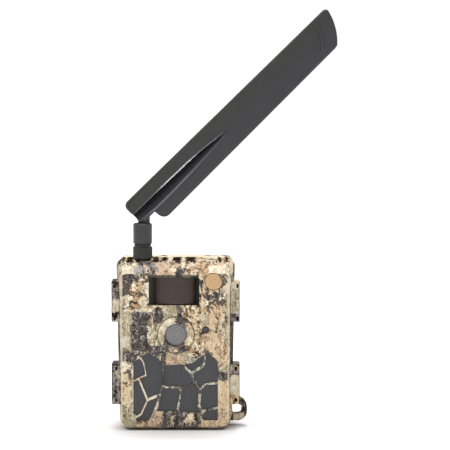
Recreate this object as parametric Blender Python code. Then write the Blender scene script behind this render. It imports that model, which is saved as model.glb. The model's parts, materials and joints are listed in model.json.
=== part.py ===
"""Trail camera: a latched clamshell case with a tree bracket and a folding paddle antenna.

Sizes are in millimetres and become metres through MM. X runs to the right as seen from in front,
Y away from the viewer and Z up. The origin is on the flat base, under the middle of the rear shell.
"""

import math

import bmesh
import bpy
from mathutils import Matrix, Vector

MM = 0.001

# Case
CASE_HEIGHT = 147.0
FRONT_Y = -47.0
SEAM_Y = -17.0
REAR_Y = 17.0
WALL = 2.6
GAP = 0.3
CORNER_TOP = 6.0
CORNER_BOTTOM = 11.0
CORNER_STEPS = 4

# Outer sections of the two shells: y, half width at top and bottom, lowest and highest z, inset
FRONT_SECTIONS = [
    (SEAM_Y - GAP / 2, 51.9, 49.3, 0.0, 147.0, 0.0),
    (-38.5, 50.0, 48.1, 0.0, 147.0, 0.5),
    (-43.5, 49.2, 47.4, 1.2, 141.5, 1.0),
    (-46.2, 48.0, 46.6, 3.0, 137.8, 1.8),
    (FRONT_Y, 46.9, 45.7, 4.6, 136.8, 2.4),
]
FRONT_HOLLOW = [
    (SEAM_Y + 1.0, 48.5, 46.45, 2.6, 144.4, 2.6),
    (-37.4, 47.4, 45.5, 2.6, 144.4, 2.6),
    (FRONT_Y + WALL, 45.9, 44.5, 4.5, 136.6, 3.0),
]
REAR_SECTIONS = [
    (SEAM_Y + GAP / 2, 51.9, 49.3, 0.0, 147.0, 0.0),
    (-14.6, 51.7, 49.2, 0.0, 147.0, 0.0),
    (-13.4, 50.9, 48.9, 0.0, 147.0, 0.3),
    (14.0, 50.0, 48.2, 0.0, 147.0, 0.5),
    (16.2, 49.0, 47.3, 0.8, 146.2, 1.0),
    (REAR_Y, 47.4, 45.8, 2.4, 144.6, 2.4),
]
GASKET_SEAT_Y = -14.3
LEDGE_Y = -12.3
REAR_HOLLOW = [
    (SEAM_Y - 1.0, 48.5, 46.45, 2.6, 144.4, 2.6),
    (GASKET_SEAT_Y, 48.5, 46.45, 2.6, 144.4, 2.6),
    (GASKET_SEAT_Y, 45.6, 43.55, 5.5, 141.5, 5.0),
    (LEDGE_Y, 45.6, 43.55, 5.5, 141.5, 5.0),
    (LEDGE_Y, 48.2, 46.3, 2.6, 144.4, 2.6),
    (REAR_Y - WALL, 47.2, 45.4, 2.6, 144.4, 2.6),
]

# Sides of round pieces: large ones in view, ordinary ones, and small fasteners and holes
FINE, PLAIN, SMALL = 40, 20, 10

# Hinge on the left side: two sets of three knuckles on one vertical axis
HINGE_X = -53.5
HINGE_RADIUS = 2.8
HINGE_PIN_RADIUS = 1.2
HINGES = {"upper": (93.2, 127.0), "lower": (21.0, 54.4)}
MIDDLE_SHARE = 0.36

# Draw latches on the right side: lever on the rear shell, wire bail behind an ear of the front shell
LATCHES = {"upper": 111.3, "lower": 39.5}
LEDGE_BAR_Y = (-22.9, -20.4)
LEDGE_BAR_X = 54.6
LEDGE_BAR_HALF = 8.6
LEVER_X, LEVER_Y = 53.1, -9.5
BAIL_X, BAIL_Y = 52.7, -3.5
BAIL_BAR_X, BAIL_BAR_Y = 53.6, -24.0
BAIL_HALF = 10.5
BAIL_WIRE = 0.6
LATCH_KNUCKLE = 1.9
LATCH_PIN = 0.7
LEVER_HALF = 9.5
LEVER_TAIL_Y = 12.0

# Ears on both sides of the front shell, hollow from behind: they hide the hinges and the bails
EAR_FRONT, EAR_WALL = -44.5, 1.7
EAR_OUTER = {-1: 54.8, 1: 55.9}
EAR_BACK = {-1: SEAM_Y - HINGE_RADIUS - 1.0, 1: -26.0}
EAR_ROOT = {"upper": (47.6, 48.9), "lower": (46.6, 48.0)}
EAR_Z = {"upper": (94.7, 129.6), "lower": (22.7, 57.6)}
EAR_SLOT_X = {(-1, "upper"): (51.4, 53.4), (-1, "lower"): (50.2, 52.0),
              (1, "upper"): (53.1, 54.9), (1, "lower"): (51.6, 53.8)}
EAR_SLOTS = {"upper": [(96.0, 99.5), (124.2, 127.6)], "lower": [(24.7, 27.9), (52.0, 55.4)]}

# Padlock ring: one lug on each shell, at the lower right
RING_OUTLINE = [(46.8, 4.7), (62.5, 4.7), (62.5, 25.1), (47.6, 25.1)]
RING_RADII = [0.5, 8.0, 9.0, 0.5]
RING_HOLE = [(49.7, 10.7), (57.5, 10.7), (57.5, 19.6), (49.7, 19.6)]
RING_HOLE_RADII = [0.8, 3.0, 3.5, 0.8]
RING_DEPTH = 5.2

# Front face
LENS_X, LENS_Z = 0.8, 83.5
LENS_RING_RADIUS = 15.9
LENS_RING_Y = -50.0
LENS_GLASS_RADIUS = 9.3
LENS_SEAT_Y = -45.2
LENS_STEPS = [2.6, 4.9, 7.2]
SENSOR_X, SENSOR_Z, SENSOR_RADIUS = 26.4, 87.9, 3.0
PIR_X, PIR_Z = 0.0, 121.75
PIR_HALF_WIDTH = 17.0
PIR_LOW, PIR_HIGH = 110.3, 133.2
PIR_BULGE = 5.4
PIR_EDGE_Y = -41.4
IR_PLATE = (-38.6, 38.6, 6.6, 69.6)
IR_WEB = 1.5
# The cells run clockwise, so an inset makes them grow
CELL_GROWTH = 0.25
IR_CELLS = [
    [(-36, 59), (-31, 63), (-28, 59), (-26.5, 53), (-26, 49), (-31.5, 46.5), (-36, 44)],
    [(-29.5, 64.5), (-26, 66.5), (-21, 66.5), (-14.5, 63), (-11.5, 58.5), (-11.5, 39), (-14, 32.5),
     (-23.5, 28.5), (-30.5, 45.5), (-24.5, 47.7), (-26, 57), (-27.2, 61)],
    [(-36, 42.5), (-32, 44), (-25, 26.5), (-30, 15), (-33.5, 13), (-36, 15)],
    [(-23.5, 25.5), (-14.5, 29.3), (-16.5, 23.5), (-21.5, 11.5), (-23, 8.7), (-33.5, 8.7), (-34.3, 10.5),
     (-32.5, 11.3), (-29, 13.5)],
    [(-9.5, 57), (7.3, 57.7), (8.6, 53.7), (12, 50.3), (16, 42), (6, 37.7), (4.3, 39), (-6.6, 38.7),
     (-9.5, 40.3)],
    [(8.6, 57.7), (15.2, 59), (24.8, 66.3), (24.8, 59.7), (22.5, 57), (14.2, 52.3), (10.6, 55)],
    [(27, 67.7), (29.8, 66.3), (35.1, 62.3), (36.8, 60.3), (36.8, 42.7), (26.5, 41.7), (22.8, 38.7),
     (20, 39.4), (18.5, 43), (16, 49.7), (25.2, 55.7), (26.5, 59)],
    [(-10.6, 37), (2.6, 36.7), (4, 34.3), (2.6, 25.7), (0.3, 17), (-15.3, 17), (-11.9, 31)],
    [(6.6, 36.3), (16, 39.7), (18.9, 38.5), (20.5, 35.7), (19.2, 21.7), (22, 17.3), (21, 16), (3.6, 17),
     (4.9, 27), (5.9, 33.7)],
    [(23.5, 36.3), (27.8, 39.7), (36.8, 40.3), (36.8, 21), (29.1, 19.3), (24.5, 18.7), (21.8, 22.3)],
    [(25.2, 16), (30.5, 17.3), (36.8, 18.7), (36.8, 9.3), (25.2, 9), (22.8, 11)],
]

# Antenna: nut, hub and paddle on one vertical axis at the top of the front shell
ANTENNA_X, ANTENNA_Y = -28.3, -30.0
NUT_RADIUS, NUT_LOW, NUT_HIGH, NUT_RIBS = 8.4, 147.5, 160.5, 30
HUB_RADIUS, HUB_LOW, HUB_HIGH = 8.2, 161.0, 179.2
TILT_Z = 186.0
REST_TILT = math.radians(45.35)
TONGUE_OFFSET, TONGUE_HALF_X, TONGUE_HALF_Y = 1.2, 5.0, 2.5
BOSS_RADIUS = 5.6
PADDLE_BASE_X, PADDLE_TIP_X = (-18.0, 16.0), (-16.4, 14.3)
PADDLE_THICKNESS = 7.0
FAIRING_LENGTH = 103.0
FAIRING_Y = 6.3
CHANNEL_DEPTH = 1.5
TIP_ARC_POINTS = [(-12.4, 238.2), (13.6, 223.2)]
TIP_SAGITTA = 2.2
TILT_PIN_RADIUS = 1.5

# Electronics stack in the front shell, front to back
LED_BOARD_Y = (-39.0, -37.4)
CAMERA_BOARD_Y = (-28.4, -27.0)
MAIN_BOARD_Y = (-25.4, -23.8)
DISPLAY_Y = (-23.5, -20.5)
PANEL_Y = (-20.2, -18.2)
DISPLAY_X, DISPLAY_Z = 26.0, (88.0, 127.0)
DISPLAY_WINDOW_X, DISPLAY_WINDOW_Z = 22.5, (91.0, 124.0)
PANEL_SCREWS = {"upper_left": (-42.8, 131.0), "upper_right": (42.8, 131.0),
                "lower_left": (-41.8, 15.0), "lower_right": (41.8, 15.0)}
BOSS_COLUMN_RADIUS = 3.4
KEYPAD_X, KEYPAD_Z, KEYPAD_PITCH = 18.0, 56.0, 12.5
KEY_RADIUS, KEY_TRAVEL = 4.2, 0.8
BUTTONS = {"button_ok": (0, 0), "button_up": (0, 1), "button_down": (0, -1),
           "button_left": (-1, 0), "button_right": (1, 0)}
SWITCH_X, SWITCH_Z, SWITCH_TRAVEL = -22.0, 56.0, 6.0

# Batteries lie upright in four columns and two rows
CELL_PITCH, CELL_LENGTH = 15.5, 53.0
BAY_HALF_X, RIB_HEIGHT = 31.0, 2.6
CELL_COLUMNS = [-1.5, -0.5, 0.5, 1.5]
CELL_ROWS = {"lower": 44.5, "upper": 103.5}
TRAY_HALF_X, TRAY_Z, TRAY_Y = 33.2, (14.5, 133.5), (-11.8, 5.6)
TRAY_FLOOR = 1.8
TRAY_EAR_HALF_X, TRAY_EAR_Z = 41.0, (66.0, 82.0)
TRAY_SCREWS, TRAY_SCREW_Z = {"left": -37.2, "right": 37.2}, 74.0
CONTACT_THICKNESS = 0.5

# Tree bracket on the back
BRACKET_HALF_X, BRACKET_Z = 28.0, (38.0, 112.0)
BRACKET_FLANGE_Y, BRACKET_PLATE = 28.2, 3.0
BRACKET_FLANGE = 4.0
BRACKET_TEETH, BRACKET_TOOTH_DEPTH = 9, 2.2
STRAP_SLOT_Z, STRAP_SLOT_Y = (61.0, 89.0), (20.6, 25.6)
BRACKET_SCREWS = {"upper": 98.0, "lower": 52.0}

TRIPOD_Y, TRIPOD_RADIUS, TRIPOD_BORE = 8.0, 5.0, 3.0
JACK_Y, JACK_Z = 5.0, 32.0

# Finishes: colour, roughness, metallic
CAMO_PLASTIC = ((0.46, 0.38, 0.26, 1), 0.55, 0.0)
BLACK_PLASTIC = ((0.035, 0.036, 0.04, 1), 0.5, 0.0)
ANTENNA_PLASTIC = ((0.06, 0.062, 0.068, 1), 0.45, 0.0)
SMOKED_ACRYLIC = ((0.07, 0.068, 0.075, 1), 0.3, 0.0)
PIR_BROWN = ((0.08, 0.06, 0.052, 1), 0.4, 0.0)
LENS_GREY = ((0.2, 0.21, 0.21, 1), 0.25, 0.0)
BOARD_GREEN = ((0.02, 0.13, 0.06, 1), 0.5, 0.0)
RUBBER_BLACK = ((0.03, 0.03, 0.03, 1), 0.85, 0.0)
STEEL = ((0.55, 0.55, 0.56, 1), 0.3, 1.0)
BRASS = ((0.72, 0.52, 0.22, 1), 0.3, 1.0)
GLASS_DARK = ((0.02, 0.022, 0.025, 1), 0.08, 0.0)
KEY_RUBBER = ((0.2, 0.2, 0.2, 1), 0.7, 0.0)
SWITCH_RED = ((0.55, 0.06, 0.04, 1), 0.45, 0.0)


# Outlines ------------------------------------------------------------------------------------

def rounded(points, radius, steps=CORNER_STEPS, closed=True):
    """The outline or path through points, each corner turned into an arc of a few steps."""
    radii = radius if isinstance(radius, (list, tuple)) else [radius] * len(points)
    path = []
    for index, point in enumerate(points):
        corner = Vector(point)
        is_end = not closed and index in (0, len(points) - 1)
        if radii[index] == 0 or is_end:
            path.append(corner)
            continue
        to_last = (Vector(points[index - 1]) - corner).normalized()
        to_next = (Vector(points[(index + 1) % len(points)]) - corner).normalized()
        half_angle = to_last.angle(to_next) / 2
        tangent = radii[index] / math.tan(half_angle)
        centre = corner + (to_last + to_next).normalized() * (radii[index] / math.sin(half_angle))
        start = corner + to_last * tangent - centre
        end = corner + to_next * tangent - centre
        sweep = math.pi - 2 * half_angle
        for step in range(steps + 1):
            share = step / steps
            blend = start * math.sin((1 - share) * sweep) + end * math.sin(share * sweep)
            path.append(centre + blend / math.sin(sweep))
    return path


def bowed(start, end, sagitta, steps):
    """Points of an arc from start to end that bulges to the right of the way by sagitta."""
    start, end = Vector(start), Vector(end)
    way = end - start
    side = Vector((way.y, -way.x)).normalized()
    return [start + way * (k / steps) + side * sagitta * 4 * (k / steps) * (1 - k / steps)
            for k in range(steps + 1)]


def inset(outline, distance):
    """A counterclockwise outline moved inwards."""
    moved = []
    for index, point in enumerate(outline):
        before = (point - outline[index - 1]).normalized()
        after = (outline[(index + 1) % len(outline)] - point).normalized()
        inward = Vector((-before.y - after.y, before.x + after.x)).normalized()
        moved.append(point + inward * distance / math.cos(before.angle(after) / 2))
    return moved


def circle(x, y, radius, sides=PLAIN):
    turns = [2 * math.pi * k / sides for k in range(sides)]
    return [(x + radius * math.cos(a), y + radius * math.sin(a)) for a in turns]


def rectangle(x_low, x_high, y_low, y_high, radius=0.0, steps=3):
    corners = [(x_low, y_low), (x_high, y_low), (x_high, y_high), (x_low, y_high)]
    return rounded(corners, radius, steps)


def case_ring(y, half_top, half_bottom, low, high, inset):
    corners = [(-half_bottom, low), (half_bottom, low), (half_top, high), (-half_top, high)]
    bottom = CORNER_BOTTOM - inset
    top = CORNER_TOP - inset
    return [(p.x, y, p.y) for p in rounded(corners, [bottom, bottom, top, top])]


# Solids --------------------------------------------------------------------------------------

def solid(name, points, faces):
    """A closed mesh object from points in millimetres, with its faces turned outwards."""
    mesh = bpy.data.meshes.new(name)
    mesh.from_pydata([Vector(p) * MM for p in points], [], faces)
    shape = bmesh.new()
    shape.from_mesh(mesh)
    bmesh.ops.remove_doubles(shape, verts=shape.verts, dist=0.001 * MM)
    bmesh.ops.recalc_face_normals(shape, faces=shape.faces)
    shape.to_mesh(mesh)
    shape.free()
    piece = bpy.data.objects.new(name, mesh)
    bpy.context.scene.collection.objects.link(piece)
    return piece


def loft(name, rings):
    """Rings of equally many points joined in order, with a flat cap on each end."""
    count = len(rings[0])
    points = [point for ring in rings for point in ring]
    faces = [tuple(range(count)), tuple(range(len(points) - count, len(points)))]
    for ring in range(len(rings) - 1):
        for k in range(count):
            a, b = ring * count + k, ring * count + (k + 1) % count
            faces.append((a, b, b + count, a + count))
    return solid(name, points, faces)


def prism(name, outline, axis, low, high):
    """An outline pushed along an axis: it holds x, z for Y, x, y for Z and y, z for X."""
    place = {"X": lambda a, b, t: (t, a, b), "Y": lambda a, b, t: (a, t, b), "Z": lambda a, b, t: (a, b, t)}
    return loft(name, [[place[axis](p[0], p[1], t) for p in outline] for t in (low, high)])


def block(name, x_range, y_range, z_range):
    return prism(name, rectangle(*x_range, *y_range), "Z", *z_range)


def turned(name, profile, centre, axis, sides=PLAIN, ring=False):
    """A profile of radius and height turned about an axis through centre; ring closes it on itself."""
    place = {"X": lambda a, b, t: (t, a, b), "Y": lambda a, b, t: (b, t, a), "Z": lambda a, b, t: (a, b, t)}
    points = []
    for radius, height in profile:
        for x, y in circle(0, 0, max(radius, 0.0), sides):
            points.append(Vector(centre) + Vector(place[axis](x, y, height)))
    rows = len(profile)
    faces = []
    for row in range(rows if ring else rows - 1):
        below, above = row * sides, (row + 1) % rows * sides
        for k in range(sides):
            after = (k + 1) % sides
            faces.append((below + k, below + after, above + after, above + k))
    if not ring:
        for row in (0, rows - 1):
            if profile[row][0] > 0:
                faces.append(tuple(range(row * sides, (row + 1) * sides)))
    return solid(name, points, faces)


def rod(name, centre, axis, radius, low, high, sides=PLAIN):
    return turned(name, [(radius, low), (radius, high)], centre, axis, sides)


def wire(name, path, radius):
    """A round wire along a path."""
    curve = bpy.data.curves.new(name, "CURVE")
    curve.dimensions = "3D"
    curve.bevel_depth = radius * MM
    curve.bevel_resolution = 2
    curve.use_fill_caps = True
    spline = curve.splines.new("POLY")
    spline.points.add(len(path) - 1)
    for spot, point in zip(spline.points, path):
        spot.co = (*(Vector(point) * MM), 1.0)
    piece = bpy.data.objects.new(name, curve)
    bpy.context.scene.collection.objects.link(piece)
    return piece


def apply_modifiers(piece):
    graph = bpy.context.evaluated_depsgraph_get()
    mesh = bpy.data.meshes.new_from_object(piece.evaluated_get(graph))
    piece.modifiers.clear()
    piece.data = mesh
    shape = bmesh.new()
    shape.from_mesh(mesh)
    bmesh.ops.remove_doubles(shape, verts=shape.verts, dist=0.002 * MM)
    bmesh.ops.dissolve_degenerate(shape, edges=shape.edges, dist=0.002 * MM)
    shape.to_mesh(mesh)
    shape.free()


def combine(piece, tools, operation):
    """Union or difference with tools, which must not overlap each other."""
    shape = bmesh.new()
    for tool in tools:
        shape.from_mesh(tool.data)
        bpy.data.objects.remove(tool)
    mesh = bpy.data.meshes.new("tool")
    shape.to_mesh(mesh)
    shape.free()
    tool = bpy.data.objects.new("tool", mesh)
    bpy.context.scene.collection.objects.link(tool)
    modifier = piece.modifiers.new("combine", "BOOLEAN")
    modifier.operation = operation
    modifier.object = tool
    apply_modifiers(piece)
    bpy.data.objects.remove(tool)
    return piece


def cut(piece, *tools):
    return combine(piece, tools, "DIFFERENCE")


def add(piece, *tools):
    return combine(piece, tools, "UNION")


def soften(piece, width, segments=1, angle=40):
    """A small bevel along the sharp edges."""
    bevel = piece.modifiers.new("bevel", "BEVEL")
    bevel.width = width * MM
    bevel.segments = segments
    bevel.limit_method = "ANGLE"
    bevel.angle_limit = math.radians(angle)
    apply_modifiers(piece)
    return piece


def empty(name, place, parent=None):
    spot = bpy.data.objects.new(name, None)
    spot.location = Vector(place) * MM
    if parent:
        spot.parent = parent
        spot.location -= world_place(parent)
    bpy.context.scene.collection.objects.link(spot)
    return spot


def world_place(holder):
    place = Vector(holder.location)
    while holder.parent:
        holder = holder.parent
        place += holder.location
    return place


def done(piece, finish, parent=None, origin=None):
    """Give a piece its material, its origin and its parent."""
    colour, roughness, metallic = finish
    material = bpy.data.materials.new(piece.name)
    material.use_nodes = True
    shader = material.node_tree.nodes["Principled BSDF"]
    shader.inputs["Base Color"].default_value = colour
    shader.inputs["Roughness"].default_value = roughness
    shader.inputs["Metallic"].default_value = metallic
    piece.data.materials.clear()
    piece.data.materials.append(material)
    place = Vector(origin) * MM if origin else (world_place(parent) if parent else Vector())
    if piece.type == "MESH":
        piece.data.transform(Matrix.Translation(-place))
        piece.data.shade_smooth()
        piece.data.set_sharp_from_angle(angle=math.radians(32))
    else:
        for spot in piece.data.splines[0].points:
            spot.co = (*(Vector(spot.co[:3]) - place), 1.0)
    piece.location = place
    if parent:
        piece.parent = parent
        piece.location = place - world_place(parent)
    return piece


# Case ----------------------------------------------------------------------------------------

def hinge_spans(low, high):
    """Heights of the lower, middle and upper knuckle of one hinge."""
    middle = (high - low) * MIDDLE_SHARE / 2
    centre = (low + high) / 2
    return (low, centre - middle - GAP / 2), (centre - middle + GAP / 2, centre + middle - GAP / 2), (
        centre + middle + GAP / 2, high)


def knuckle(side, span):
    """A knuckle with an arm that reaches its own shell: side is -1 for the front, 1 for the rear."""
    radius = HINGE_RADIUS
    near, far = sorted((SEAM_Y + side * GAP, SEAM_Y + side * radius))
    barrel = rod("knuckle", (HINGE_X, SEAM_Y, 0), "Z", radius, *span)
    return add(barrel, block("arm", (HINGE_X, -48.9), (near, far), (span[0] + 0.05, span[1] - 0.05)))


def hinge_knuckles(side):
    spans = [hinge_spans(low, high) for low, high in HINGES.values()]
    own = [0, 2] if side > 0 else [1]
    return [knuckle(side, heights[place]) for heights in spans for place in own]


def hinge_rods(radius, margin, sides):
    """Rods on the hinge axis, for the room that the knuckles turn in and for the bores."""
    return [rod("rod", (HINGE_X, SEAM_Y, 0), "Z", radius, low - margin, high + margin, sides)
            for low, high in HINGES.values()]


def ring_lug(y_low, y_high):
    lug = prism("lug", rounded(RING_OUTLINE, RING_RADII), "Y", y_low, y_high)
    return cut(lug, prism("hole", rounded(RING_HOLE, RING_HOLE_RADII, 4), "Y", y_low - 1, y_high + 1))


def side_ear(side, name):
    """A hollow ear whose root follows the flank of the shell, with two blind slots in its face."""
    outer, back, (low, high) = EAR_OUTER[side], EAR_BACK[side], EAR_Z[name]
    root_front, root_back = EAR_ROOT[name]
    outline = [(side * root_front, EAR_FRONT), (side * outer, EAR_FRONT), (side * outer, back),
               (side * root_back, back)]
    ear = prism("ear", rounded(outline, [0, 1.0, 0.6, 0], 3), "Z", low, high)
    room_x = sorted((side * 50.6, side * (outer - EAR_WALL)))
    room = block("room", room_x, (EAR_FRONT + 2.4, back + 1), (low + EAR_WALL, high - EAR_WALL))
    slot_x = sorted(side * x for x in EAR_SLOT_X[side, name])
    slots = [block("slot", slot_x, (EAR_FRONT - 1, EAR_FRONT + 1.2), span) for span in EAR_SLOTS[name]]
    return cut(ear, room, *slots)


def bail_ledge(name):
    """The ledge behind an ear that the bail pulls on."""
    span = (LATCHES[name] - LEDGE_BAR_HALF, LATCHES[name] + LEDGE_BAR_HALF)
    return block("ledge", (48.6, LEDGE_BAR_X), LEDGE_BAR_Y, span)


def screw_columns(holes=False):
    radius = 1.1 + GAP if holes else BOSS_COLUMN_RADIUS
    ends = (-34.0, PANEL_Y[0] + 1) if holes else (FRONT_Y + WALL - 0.6, PANEL_Y[0] - GAP)
    sides = SMALL if holes else PLAIN
    return [rod("column", (x, 0, z), "Y", radius, *ends, sides) for x, z in PANEL_SCREWS.values()]


def front_case(door):
    case = loft("front_case", [case_ring(*section) for section in FRONT_SECTIONS])
    cut(case, loft("hollow", [case_ring(*section) for section in FRONT_HOLLOW]))
    cut(case, *hinge_rods(HINGE_RADIUS + GAP, GAP, PLAIN))
    pir_tub = block("tub", (PIR_X - 25.5, PIR_X + 24.0), (FRONT_Y + WALL - 0.6, -39.4), (107.0, 135.6))
    ring_profile = [(0, LENS_RING_Y), (14.4, LENS_RING_Y), (15.1, -49.7), (LENS_RING_RADIUS, -48.2),
                    (LENS_RING_RADIUS, -45.2), (11.6, -45.2), (11.6, -40.5), (0, -40.5)]
    lens_ring = turned("ring", ring_profile, (LENS_X, 0, LENS_Z), "Y", FINE)
    add(case, pir_tub, *screw_columns())
    add(case, lens_ring)
    lug = ring_lug(SEAM_Y - GAP - RING_DEPTH, SEAM_Y - GAP)
    ears = [side_ear(side, name) for side in (-1, 1) for name in LATCHES]
    add(case, *ears, *[bail_ledge(name) for name in LATCHES], lug)
    add(case, *hinge_knuckles(-1))
    pocket_low, pocket_high = PIR_LOW - 0.3, PIR_HIGH + 0.3
    pocket_sections = ((FRONT_Y - 1, -23.8, 21.9, pocket_low - 0.8),
                       (PIR_EDGE_Y - 0.4, -17.6, 17.6, pocket_low),
                       (-38.0, -17.6, 17.6, pocket_low))
    pir_pocket = loft("pocket", [[(p.x, y, p.y) for p in rectangle(left, right, low, pocket_high, 1.2)]
                                 for y, left, right, low in pocket_sections])
    cone = turned("cone", [(14.2, LENS_RING_Y - 1.0), (13.4, LENS_RING_Y), (11.6, -48.6), (9.9, -46.4),
                           (LENS_GLASS_RADIUS + GAP, -46.0), (LENS_GLASS_RADIUS + GAP, -39.0)],
                  (LENS_X, 0, LENS_Z), "Y", FINE)
    eye = rod("eye", (SENSOR_X, 0, SENSOR_Z), "Y", SENSOR_RADIUS + GAP, FRONT_Y - 1, -43.0)
    cut(case, pir_pocket, cone, eye)
    seat = IR_PLATE
    cut(case, block("seat", seat[:2], (FRONT_Y + IR_WEB, -40.0), seat[2:]))
    cells = [inset([Vector(p) for p in cell], CELL_GROWTH) for cell in IR_CELLS]
    cut(case, *[prism("cell", cell, "Y", FRONT_Y - 1, FRONT_Y + IR_WEB + 0.4) for cell in cells])
    port = rod("port", (ANTENNA_X, ANTENNA_Y, 0), "Z", 3.2 + GAP, 143.0, 148.0)
    cut(case, port, *screw_columns(holes=True))
    cut(case, *hinge_rods(HINGE_PIN_RADIUS + GAP, 1.0, SMALL))
    done(case, CAMO_PLASTIC, door)


def latch_knuckles(centre):
    """Two knuckles that hold the pin of one lever."""
    reach = LATCH_KNUCKLE
    outline = [(48.6, LEVER_Y - reach), (LEVER_X + reach, LEVER_Y - reach),
               (LEVER_X + reach, LEVER_Y + reach), (48.6, LEVER_Y + reach)]
    round_end = rounded(outline, [0, reach - 0.01, reach - 0.01, 0])
    spans = [(centre - 9.4, centre - 6.4), (centre + 6.4, centre + 9.4)]
    return [prism("knuckle", round_end, "Z", *span) for span in spans]


def rear_case():
    case = loft("rear_case", [case_ring(*section) for section in REAR_SECTIONS])
    cut(case, loft("hollow", [case_ring(*section) for section in REAR_HOLLOW]))
    cut(case, *hinge_rods(HINGE_RADIUS + GAP, GAP, PLAIN))
    back = REAR_Y - WALL
    post_ends = (TRAY_Y[1] + GAP, back + 0.6)
    posts = [rod("post", (0, 0, z), "Y", 4.0, *post_ends, SMALL) for z in BRACKET_SCREWS.values()]
    tray_posts = [rod("post", (x, 0, TRAY_SCREW_Z), "Y", 3.2, *post_ends, SMALL)
                  for x in TRAY_SCREWS.values()]
    tripod_seat = rod("seat", (0, TRIPOD_Y, 0), "Z", TRIPOD_RADIUS + 2.4, 1.5, 11.0)
    add(case, *posts, *tray_posts, tripod_seat)
    knuckles = [piece for centre in LATCHES.values() for piece in latch_knuckles(centre)]
    add(case, *knuckles, ring_lug(SEAM_Y + GAP, SEAM_Y + GAP + RING_DEPTH))
    add(case, *hinge_knuckles(1))
    holes = [rod("hole", (0, 0, z), "Y", 1.6 + GAP, TRAY_Y[1] + 2.0, REAR_Y + 1, SMALL)
             for z in BRACKET_SCREWS.values()]
    tray_holes = [rod("hole", (x, 0, TRAY_SCREW_Z), "Y", 1.1 + GAP, TRAY_Y[1] - 1.0, back - 1.0, SMALL)
                  for x in TRAY_SCREWS.values()]
    insert = rod("hole", (0, TRIPOD_Y, 0), "Z", TRIPOD_RADIUS + GAP, -1.0, 9.6)
    jack = rod("hole", (0, JACK_Y, JACK_Z), "X", 4.0 + GAP, -52.0, -44.0)
    tether = block("slot", (-52.0, -47.9), (JACK_Y - 2.2, JACK_Y + 2.2), (JACK_Z - 11.8, JACK_Z - 8.2))
    cut(case, *holes, *tray_holes, insert, jack, tether)
    bores = [rod("bore", (LEVER_X, LEVER_Y, 0), "Z", LATCH_PIN + GAP, centre - 9.2, centre + 11.0, SMALL)
             for centre in LATCHES.values()]
    cut(case, *bores)
    cut(case, *hinge_rods(HINGE_PIN_RADIUS + GAP, 1.0, SMALL))
    done(case, CAMO_PLASTIC)


def gasket():
    outer = (48.5 - GAP, 46.45 - GAP, 2.6 + GAP, 144.4 - GAP, 2.6 + GAP)
    inner = (45.9, 43.85, 5.2, 141.8, 4.9)
    low, high = SEAM_Y + GAP, GASKET_SEAT_Y - GAP
    ring = loft("door_gasket", [case_ring(low, *outer), case_ring(high, *outer)])
    cut(ring, loft("hollow", [case_ring(low - 1, *inner), case_ring(high + 1, *inner)]))
    done(ring, RUBBER_BLACK)


def hinge_pins():
    for name, (low, high) in HINGES.items():
        ends = (low + 0.4, high - 0.4)
        done(rod(f"hinge_pin_{name}", (HINGE_X, SEAM_Y, 0), "Z", HINGE_PIN_RADIUS, *ends, SMALL), STEEL)


# Latches -------------------------------------------------------------------------------------

def latch(name):
    centre = LATCHES[name]
    pivot = empty(f"latch_{name}_axis", (LEVER_X, LEVER_Y, centre))
    span = (centre - LEVER_HALF, centre + LEVER_HALF)
    barrel_span = (centre - 6.1, centre + 6.1)
    plate = [(53.4, LEVER_Y + 2.6), (55.5, LEVER_Y + 2.6), (55.5, LEVER_TAIL_Y - 2.5),
             (54.9, LEVER_TAIL_Y), (53.0, LEVER_TAIL_Y), (53.4, LEVER_TAIL_Y - 3.5)]
    lever = prism(f"latch_lever_{name}", rounded(plate, [0.3, 0.8, 1.2, 0.6, 0.6, 1.2], 3), "Z", *span)
    web = [(52.6, LEVER_Y), (LEVER_X + LATCH_KNUCKLE, LEVER_Y), (55.4, LEVER_Y + 3.4),
           (53.5, LEVER_Y + 3.4)]
    add(lever, prism("web", web, "Z", *barrel_span))
    add(lever, rod("barrel", (LEVER_X, LEVER_Y, 0), "Z", LATCH_KNUCKLE, *barrel_span, 16))
    bosses = [rod("boss", (BAIL_X, BAIL_Y, 0), "Z", 1.5, *ends, SMALL)
              for ends in ((centre + 6.6, span[1]), (span[0], centre - 6.6))]
    add(lever, *bosses)
    bail_holes = [rod("hole", (BAIL_X, BAIL_Y, 0), "Z", BAIL_WIRE + GAP, *ends, SMALL)
                  for ends in ((centre + 7.2, centre + 10.0), (centre - 10.0, centre - 7.2))]
    pin_bore = rod("bore", (LEVER_X, LEVER_Y, 0), "Z", LATCH_PIN + GAP, centre - 8, centre + 8, SMALL)
    cut(lever, pin_bore, *bail_holes)
    done(lever, BLACK_PLASTIC, pivot)
    pin = rod(f"latch_pin_{name}", (LEVER_X, LEVER_Y, 0), "Z", LATCH_PIN, centre - 8.9, centre + 9.4, SMALL)
    done(pin, STEEL)
    corners = [(BAIL_X, BAIL_Y, 7.6), (BAIL_X, BAIL_Y, BAIL_HALF), (BAIL_BAR_X, BAIL_BAR_Y, BAIL_HALF)]
    corners += [(x, y, -z) for x, y, z in reversed(corners)]
    path = rounded([(x, y, z + centre) for x, y, z in corners], 1.6, 3, closed=False)
    done(wire(f"latch_bail_{name}", path, BAIL_WIRE), STEEL, pivot, (BAIL_X, BAIL_Y, centre))


# Front face ----------------------------------------------------------------------------------

def ir_window(door):
    left, right, low, high = IR_PLATE
    outline = rectangle(left + GAP, right - GAP, low + GAP, high - GAP, 1.0)
    plate = prism("ir_window", outline, "Y", FRONT_Y + IR_WEB + GAP, FRONT_Y + IR_WEB + GAP + 1.6)
    done(plate, SMOKED_ACRYLIC, door)


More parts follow.
